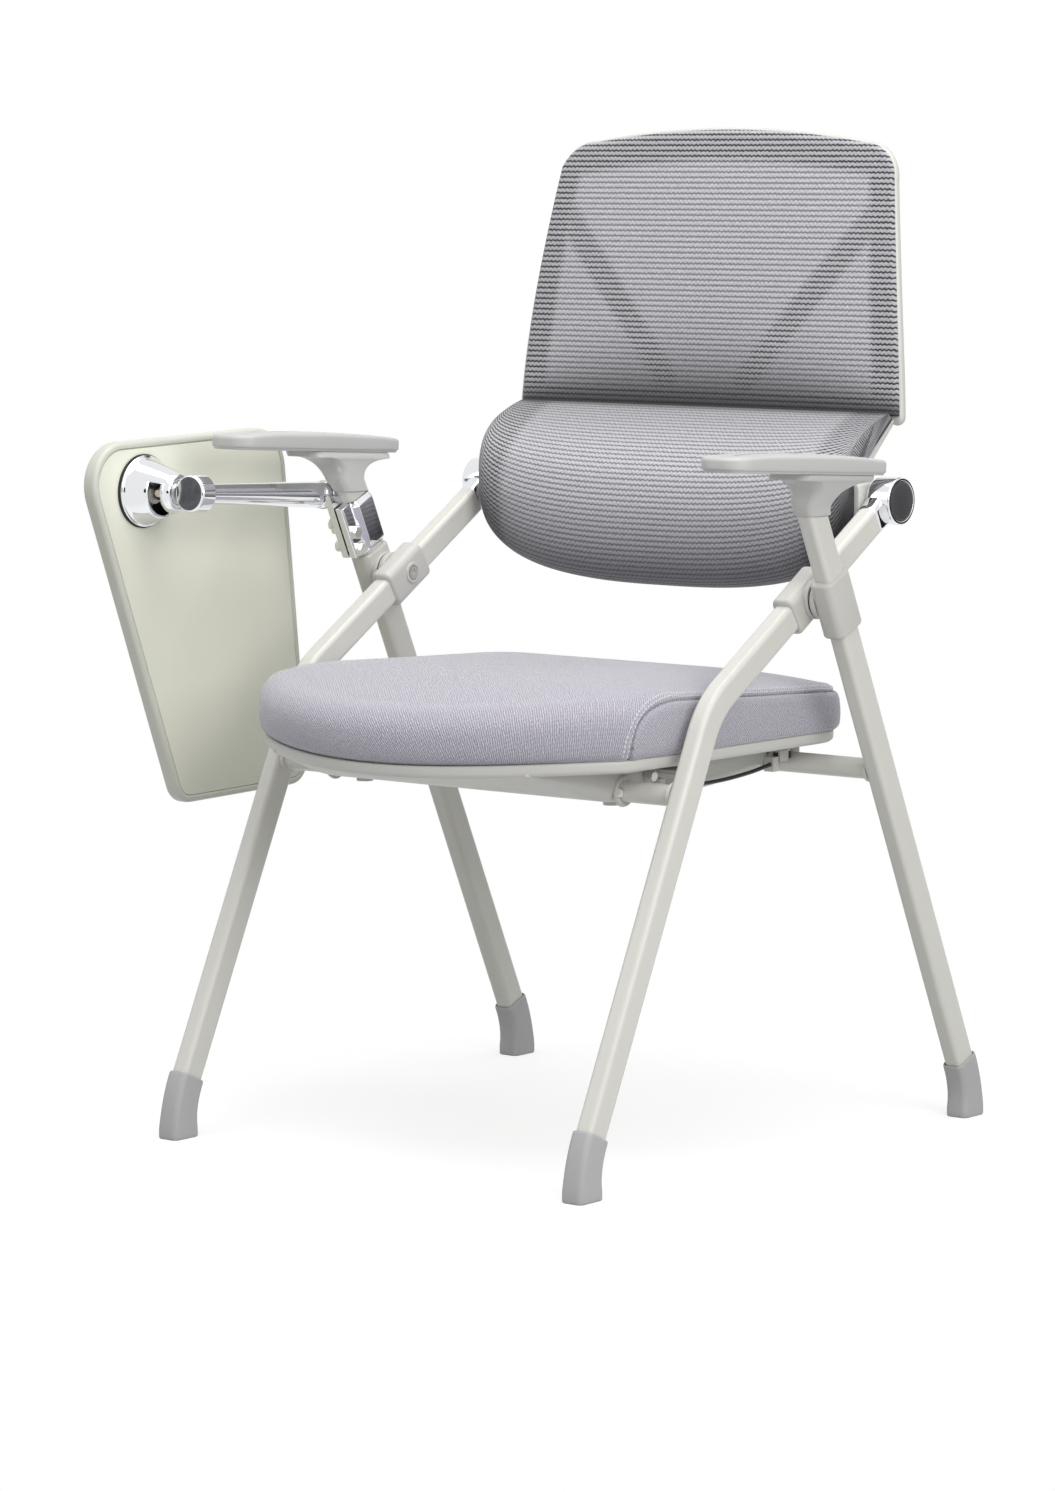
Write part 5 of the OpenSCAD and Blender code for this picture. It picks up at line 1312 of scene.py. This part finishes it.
def arm_bracket():
    """Rings from the sleeve's foot to the pad: each spans a fore point and an aft point."""
    fore, aft = bracket_edge(-1, 62), bracket_edge(1, 54)
    z = (fore[:, 1] + aft[:, 1]) / 2
    rise = np.clip((z - 607) / (639 - 607), 0, 1)
    inner = 268.9 + 0.6 * rise + 3.5 * np.clip((z - 638) / 5, 0, 1) ** 2
    outer = 293.1 + 24.9 * rise ** 1.1
    mid_x, wide = (inner + outer) / 2, outer - inner
    trim = np.zeros(len(fore))
    trim[0], trim[-1] = 1.0, 0.5
    rows = []
    for k in range(len(fore)):
        span = np.linalg.norm(aft[k] - fore[k])
        corner = min(7.5 + 4 * rise[k], wide[k] / 2 - 2)
        s = round_box(wide[k] - 2 * trim[k], span - 2 * trim[k], corner)
        mid = (fore[k] + aft[k]) / 2
        along = (aft[k] - fore[k]) / span
        rows.append(np.column_stack([mid_x[k] + s[:, 0], mid + s[:, 1:2] * along]))
    return skin(rows)


both_sides("arm_bracket", [arm_bracket()], "rear_frame", arm_plastic, "arm_support")

# %% [markdown]
# ## The writing tablet
# The tablet hangs outside the sitter's right arm. A soft-edged rim surrounds a board that lies a
# little lower, with a fine dark line between them. A bevelled slab would have no such line, so the
# rim is a section carried round the outline and the board is a plate of its own. The tablet turns
# on a polished bell, and the bell's arm turns in a socket that is clamped to the rear tube.

# %% Tablet
hub_at = np.array([-190.0, 610.005])
arm_out = 303.5
near_face = arm_out + 69.0
RIM_EDGE, RIM_THICK, BOARD_IN = 4.0, 16.0, 7.4


def round_corners(corners, radii, n=16):
    """A polygon with its corners rounded by circles of the given radii."""
    p = np.asarray(corners, float)
    out = []
    for i, r in enumerate(radii):
        a, b, c = p[i - 1], p[i], p[(i + 1) % len(p)]
        u, v = (a - b) / np.linalg.norm(a - b), (c - b) / np.linalg.norm(c - b)
        half = math.acos(np.clip(u @ v, -1, 1)) / 2
        centre = b + (u + v) / np.linalg.norm(u + v) * r / math.sin(half)
        s, e = b + u * r / math.tan(half) - centre, b + v * r / math.tan(half) - centre
        start = math.atan2(s[1], s[0])
        turn_by = (math.atan2(e[1], e[0]) - start + 3 * math.pi) % (2 * math.pi) - math.pi
        t = start + turn_by * np.linspace(0, 1, n)
        out.append(centre + r * np.column_stack([np.cos(t), np.sin(t)]))
    return np.vstack(out)


tablet_corners = [[-88, 47], [208, 55], [247, -309], [51, -313]]
tablet_outline = hub_at + resample(round_corners(tablet_corners, [42, 42, 24, 24]), 260)


def flat_rings(outline, levels):
    """Rings on a [y, z] outline, drawn in by each level's inset, at its distance from near_face."""
    return [np.column_stack([np.full(len(outline), near_face + x), inset(outline, i)])
            for i, x in levels]


def tablet_rim():
    """The outline carried round: a section 7 mm wide and 16 mm thick with soft outer edges."""
    a = np.radians(np.linspace(0, 90, 8))
    levels = [(7.0, 1.2), (6.5, 0.5), (5.8, 0.0), (4.6, 0.0)]
    levels += [(RIM_EDGE - RIM_EDGE * math.sin(t), RIM_EDGE - RIM_EDGE * math.cos(t)) for t in a]
    levels += [(RIM_EDGE - RIM_EDGE * math.cos(t), RIM_THICK - RIM_EDGE + RIM_EDGE * math.sin(t))
               for t in a]
    levels += [(4.6, 16.0), (5.8, 16.0), (6.5, 15.5), (7.0, 14.6)]
    rows = flat_rings(tablet_outline, levels)
    return skin(rows + rows[:1], ends=False)


def tablet_panel():
    """The board: its outline drawn in by 7.4, its faces 0.5 and 15.2 from the rim's near face."""
    levels = [(0.9, 0.5), (0.25, 0.75), (0, 1.4), (0, 14.2), (0.25, 14.9), (0.9, 15.2)]
    return skin(flat_rings(inset(tablet_outline, BOARD_IN), levels))


piece("writing_rim", [flip(tablet_rim())], "tablet", tablet_edge, ["tablet_rim"])
piece("writing_board", [flip(tablet_panel())], "tablet", tablet_face, ["tablet_board"])

# %% [markdown]
# The tablet's arm is one polished casting: a short drum that faces forward, and a rod that grows
# towards the socket, where it ends in a stepped collar. All of it is round about one line, so two
# turned profiles give it, with small fillets where a lathe would leave them.

# %% Tablet arm
hub = [arm_out, *hub_at]
arm_way = np.array([0, math.cos(tilt), -math.sin(tilt)])
SOCKET_Y = -2.0
to_socket = (SOCKET_Y - hub_at[0]) / math.cos(tilt)
arm_drum = [[-10, 0], [-10, 17.2], [-8.2, 18.5], [8.6, 18.5], [10, 17.4], [10, 0]]
# The last part of the rod, as [distance past the socket's mouth, radius].
arm_collar = [[-30, 12.9], [-12, 13.3], [-11, 12.2], [-8.5, 12.2], [-8, 13.5], [-0.5, 13.5],
              [-0.5, 9.0], [54.5, 9.0], [55.2, 8.0]]


def tablet_casting():
    """Turned profiles about the arm's own axis: drum, neck, growing rod, collar and journal."""
    drum = fillet(arm_drum, 1.6, 5)
    rod = fillet([[6, 9.6], [14, 10.0]] + [[to_socket + along, r] for along, r in arm_collar], 0.9, 4)
    return [skin(turn(drum, hub, arm_way, 96)[1:-1]), skin(turn(rod, hub, arm_way, 72))]


piece("tablet_casting", [flip(part) for part in tablet_casting()], "tablet_arm",
      chrome, ["tablet_arm"])
print("tablet arm", round(to_socket), "mm from hub to socket")

# %% [markdown]
# The bell is a hollow cone between the arm's drum and the tablet. A slot round its underside lets
# it turn past the stop pin. It could be cut with a Boolean, which leaves long thin faces that
# spoil a mirror, so it is a surface turned about the hub's cross axis, and the faces of the slot
# are left out before the wall gets its thickness.

# %% Bell
FLARE_FROM, SLOT_FROM, SLOT_TO, SLOT_HALF_ANGLE = 19.5, 28.7, 40.7, 118


def bell_surface():
    """Radius against distance from the hub: neck 17.5, a straight flare to 33, a lip of 35."""
    flare_x = np.array([22.5, 25, SLOT_FROM, 32, 36, SLOT_TO, 45, 50, 55, 60, 63.4])
    flare_r = 17.5 + (flare_x - FLARE_FROM) * 15.5 / 44.9
    profile = [[19.6, 9.2], [19.6, 16.2], [20.0, 17.0], [20.9, 17.7]]
    profile += np.column_stack([flare_x, flare_r]).tolist()
    profile += [[64.2, 33.3], [64.6, 34.2], [65.0, 34.8], [65.8, 35.0], [67.1, 35.0]]
    points, faces = skin(turn(profile, hub, ALONG_X, 236), ends=False)
    quads = np.asarray(faces)
    mid = points[quads].mean(1) - hub
    turned_by = np.degrees(np.arctan2(mid[:, 1], -mid[:, 2]))
    in_slot = (mid[:, 0] > SLOT_FROM) & (mid[:, 0] < SLOT_TO) & (np.abs(turned_by) < SLOT_HALF_ANGLE)
    return points, quads[~in_slot].tolist()


bell = piece("bell_casting", [flip(bell_surface())], "tablet", chrome,
             ["tablet_bell"], sharp=50)
shell_wall = bell.modifiers.new("wall", "SOLIDIFY")
shell_wall.thickness = 0.0026
shell_wall.offset = -1

# %% [markdown]
# The clamp's inner half is a plated block: a raised plate with cut corners over the tube, and a
# lower flange in front that takes two hex bolts. It is an outline stacked in four rings up the
# tube, because only its plate changes on the way. A narrow bevel catches the light on every edge.

# %% Clamp half and its bolts
clamp_foot, clamp_face, clamp_long, tube_half = rear_at(548.0), 282.2, 54.6, 13.7
up_line = np.array([-math.sin(rear_lean), math.cos(rear_lean)])
back_line = np.array([math.cos(rear_lean), math.sin(rear_lean)])


def clamp_half():
    """A C-shaped outline stacked up the tube; near both ends the raised plate draws in."""
    rows = []
    for s, cut in ((0.0, 5.0), (5.0, 0.0), (clamp_long - 5.0, 0.0), (clamp_long, 5.0)):
        near = 266.6 + cut
        outline = np.array([[clamp_face, -28], [274.4, -28], [273.0, -26.6], [273.0, -14.5],
                            [near + 4.6, -14.2], [near, -9.6], [near, 12.4], [near + 5, 17.6],
                            [clamp_face, 17.6], [clamp_face, tube_half], [rear_x - 9.7, tube_half],
                            [rear_x - 9.7, -tube_half], [clamp_face, -tube_half]])
        base = clamp_foot + s * up_line
        rows.append(np.column_stack([outline[:, 0], base + outline[:, 1:2] * back_line]))
    return skin(rows)


def hex_bolts():
    """Two hex heads with a shallow dome, each on a shank through the clamp, turned about X."""
    head = [[267.4, 0], [267.4, 5.2], [268.1, 6.6], [268.7, 7.2], [273.4, 7.2], [273.4, 0]]
    shank = [[270, 0], [270, 3], [300.4, 3], [300.4, 0]]
    parts = []
    for share in (0.12, 0.47):
        start = [0, *(clamp_foot + share * clamp_long * up_line - 20.6 * back_line)]
        parts += [skin(turn(head, start, ALONG_X, 6)[1:-1]), skin(turn(shank, start, ALONG_X, 32)[1:-1])]
    return parts


clamp_plate = piece("clamp_plate", [flip(clamp_half())], "rear_frame", chrome,
                    ["clamp_inner"], sharp=20)
soft_edge = clamp_plate.modifiers.new("edge", "BEVEL")
soft_edge.width = 0.0007
soft_edge.segments = 2
soft_edge.limit_method = "ANGLE"
soft_edge.angle_limit = math.radians(25)
piece("clamp_hex_bolts", [flip(part) for part in hex_bolts()], "rear_frame", steel,
      ["clamp_bolts"], sharp=25)

# %% [markdown]
# ## Studio
# The photograph has no horizon: its floor is lightly shaded under the chair and plain white further
# out. More light would give that white and bleach the chair with it, so the white is for the rays
# of the camera and of mirrors and glass alone, while the lamps stay at the level where a colour
# looks as it is written. The chair's shadow still darkens the floor near it.

# %% Floor
WHITE = (1, 1, 1, 1)
NEAR, FAR = 0.5, 1.1


def seen_rays(tree):
    """1 for a ray of the camera, of a mirror or of glass, 0 for one that only brings light."""
    path = add(tree, "ShaderNodeLightPath").outputs
    mirrored = maths(tree, "MAXIMUM", path["Is Camera Ray"], path["Is Glossy Ray"])
    return maths(tree, "MAXIMUM", mirrored, path["Is Transmission Ray"])


def floor_finish():
    """Plain pale for light; as seen, its own shade 0.38 to 0 plus a glow 0.69 to 1, near to far."""
    mat = bpy.data.materials.new("floor")
    mat.use_nodes = True
    tree = mat.node_tree
    tree.nodes.clear()
    where = add(tree, "ShaderNodeTexCoord").outputs["Object"]
    away = add(tree, "ShaderNodeVectorMath", {0: where}, operation="LENGTH").outputs["Value"]
    fade = rescale(tree, away, NEAR, FAR, curve="SMOOTHSTEP")
    own = add(tree, "ShaderNodeBsdfDiffuse", {"Color": rescale(tree, fade, 0, 1, 0.38, 0.0)})
    level = rescale(tree, fade, 0, 1, 0.69, 1.0)
    glow = add(tree, "ShaderNodeEmission", {"Color": WHITE, "Strength": level})
    pale = add(tree, "ShaderNodeAddShader", {0: own.outputs[0], 1: glow.outputs[0]})
    plain = add(tree, "ShaderNodeBsdfDiffuse", {"Color": (0.52, 0.52, 0.52, 1)})
    both = add(tree, "ShaderNodeMixShader",
               {0: seen_rays(tree), 1: plain.outputs[0], 2: pale.outputs[0]})
    add(tree, "ShaderNodeOutputMaterial", {"Surface": both.outputs[0]})
    return mat


def flat_square(name, corners, finish):
    """One face between four corners, linked into the scene with its finish."""
    mesh = bpy.data.meshes.new(name)
    mesh.from_pydata(corners, [], [(0, 1, 2, 3)])
    mesh.materials.append(finish)
    obj = bpy.data.objects.new(name, mesh)
    bpy.context.scene.collection.objects.link(obj)
    return obj


def square(half_wide, half_high):
    """The four corners of a rectangle round the origin."""
    return [(-half_wide, -half_high, 0), (half_wide, -half_high, 0), (half_wide, half_high, 0),
            (-half_wide, half_high, 0)]


flat_square("floor", square(6.0, 6.0), floor_finish())

# %% White surroundings
world = bpy.data.worlds.new("surroundings")
bpy.context.scene.world = world
world.use_nodes = True
sky = world.node_tree
plain = sky.nodes["Background"]
plain.inputs["Color"].default_value = WHITE
LIGHT_LEVEL = 0.42
sky.links.new(rescale(sky, seen_rays(sky), 0, 1, LIGHT_LEVEL, 1.0), plain.inputs["Strength"])
print("surroundings", LIGHT_LEVEL, "as light, 1.0 as seen")

# %% [markdown]
# Three large soft lamps light the chair: a wide one overhead does most of the work, a strong one
# from the camera's right brightens the front and side, and a weak key from the left opens the
# shadows. Polished metal is only as good as what it mirrors, and an all-white studio leaves it
# flat, so four dark cards stand where the plated pieces look. Only mirrors see them.

# %% Lamps
def aimed(place, aim):
    """The turn that points -Z from a place to an aim."""
    return (Vector(aim) - Vector(place)).to_track_quat("-Z", "Y")


def lamp(name, place, aim, size, power):
    """A square area lamp, size metres wide, that looks from place to aim."""
    light = bpy.data.lights.new(name, "AREA")
    light.size = size
    light.energy = power
    obj = bpy.data.objects.new(name, light)
    obj.location = place
    obj.rotation_euler = aimed(place, aim).to_euler()
    bpy.context.scene.collection.objects.link(obj)


lamp("overhead", (0.2, -0.3, 2.9), (0, 0, 0.4), 2.2, 54)
lamp("key", (-1.6, -2.4, 1.9), (0, 0, 0.6), 1.6, 7)
lamp("side", (2.2, -0.85, 1.6), (0, 0, 0.6), 1.5, 34)
print("lamps", len(bpy.data.lights))

# %% Dark cards for the mirrors
def dark_card(name, place, aim, wide, high, finish):
    """A dark card that only mirrors see: it gives the plated pieces their dark bands."""
    turned = aimed(place, aim).to_matrix()
    corners = [turned @ Vector(c) + Vector(place) for c in square(wide / 2, high / 2)]
    card = flat_square(name, corners, finish)
    card.visible_camera = card.visible_diffuse = False
    card.visible_shadow = card.visible_transmission = False


card_black = coated("card black", (0.015, 0.015, 0.016), 0.9, 0.02, 100, 0.0001, spec=0.0)
card_grey = coated("card grey", (0.14, 0.145, 0.155), 0.9, 0.3, 6, 0.0001, spec=0.0)
hub_spot, clamp_spot = (-0.27, -0.2, 0.61), (-0.24, 0.0, 0.58)
dark_card("card_drum", (-1.75, -1.83, 0.65), hub_spot, 0.6, 0.45, card_grey)
dark_card("card_clamp", (1.19, 1.60, 0.44), clamp_spot, 0.8, 0.75, card_black)
dark_card("card_back", (-0.13, 1.54, 2.06), clamp_spot, 1.3, 0.6, card_black)
dark_card("card_front", (1.3, -2.6, 0.85), hub_spot, 2.4, 0.7, card_black)

# %% [markdown]
# The last cell brings the scene's view layer up to date.

# %% Update the view layer
bpy.context.view_layer.update()
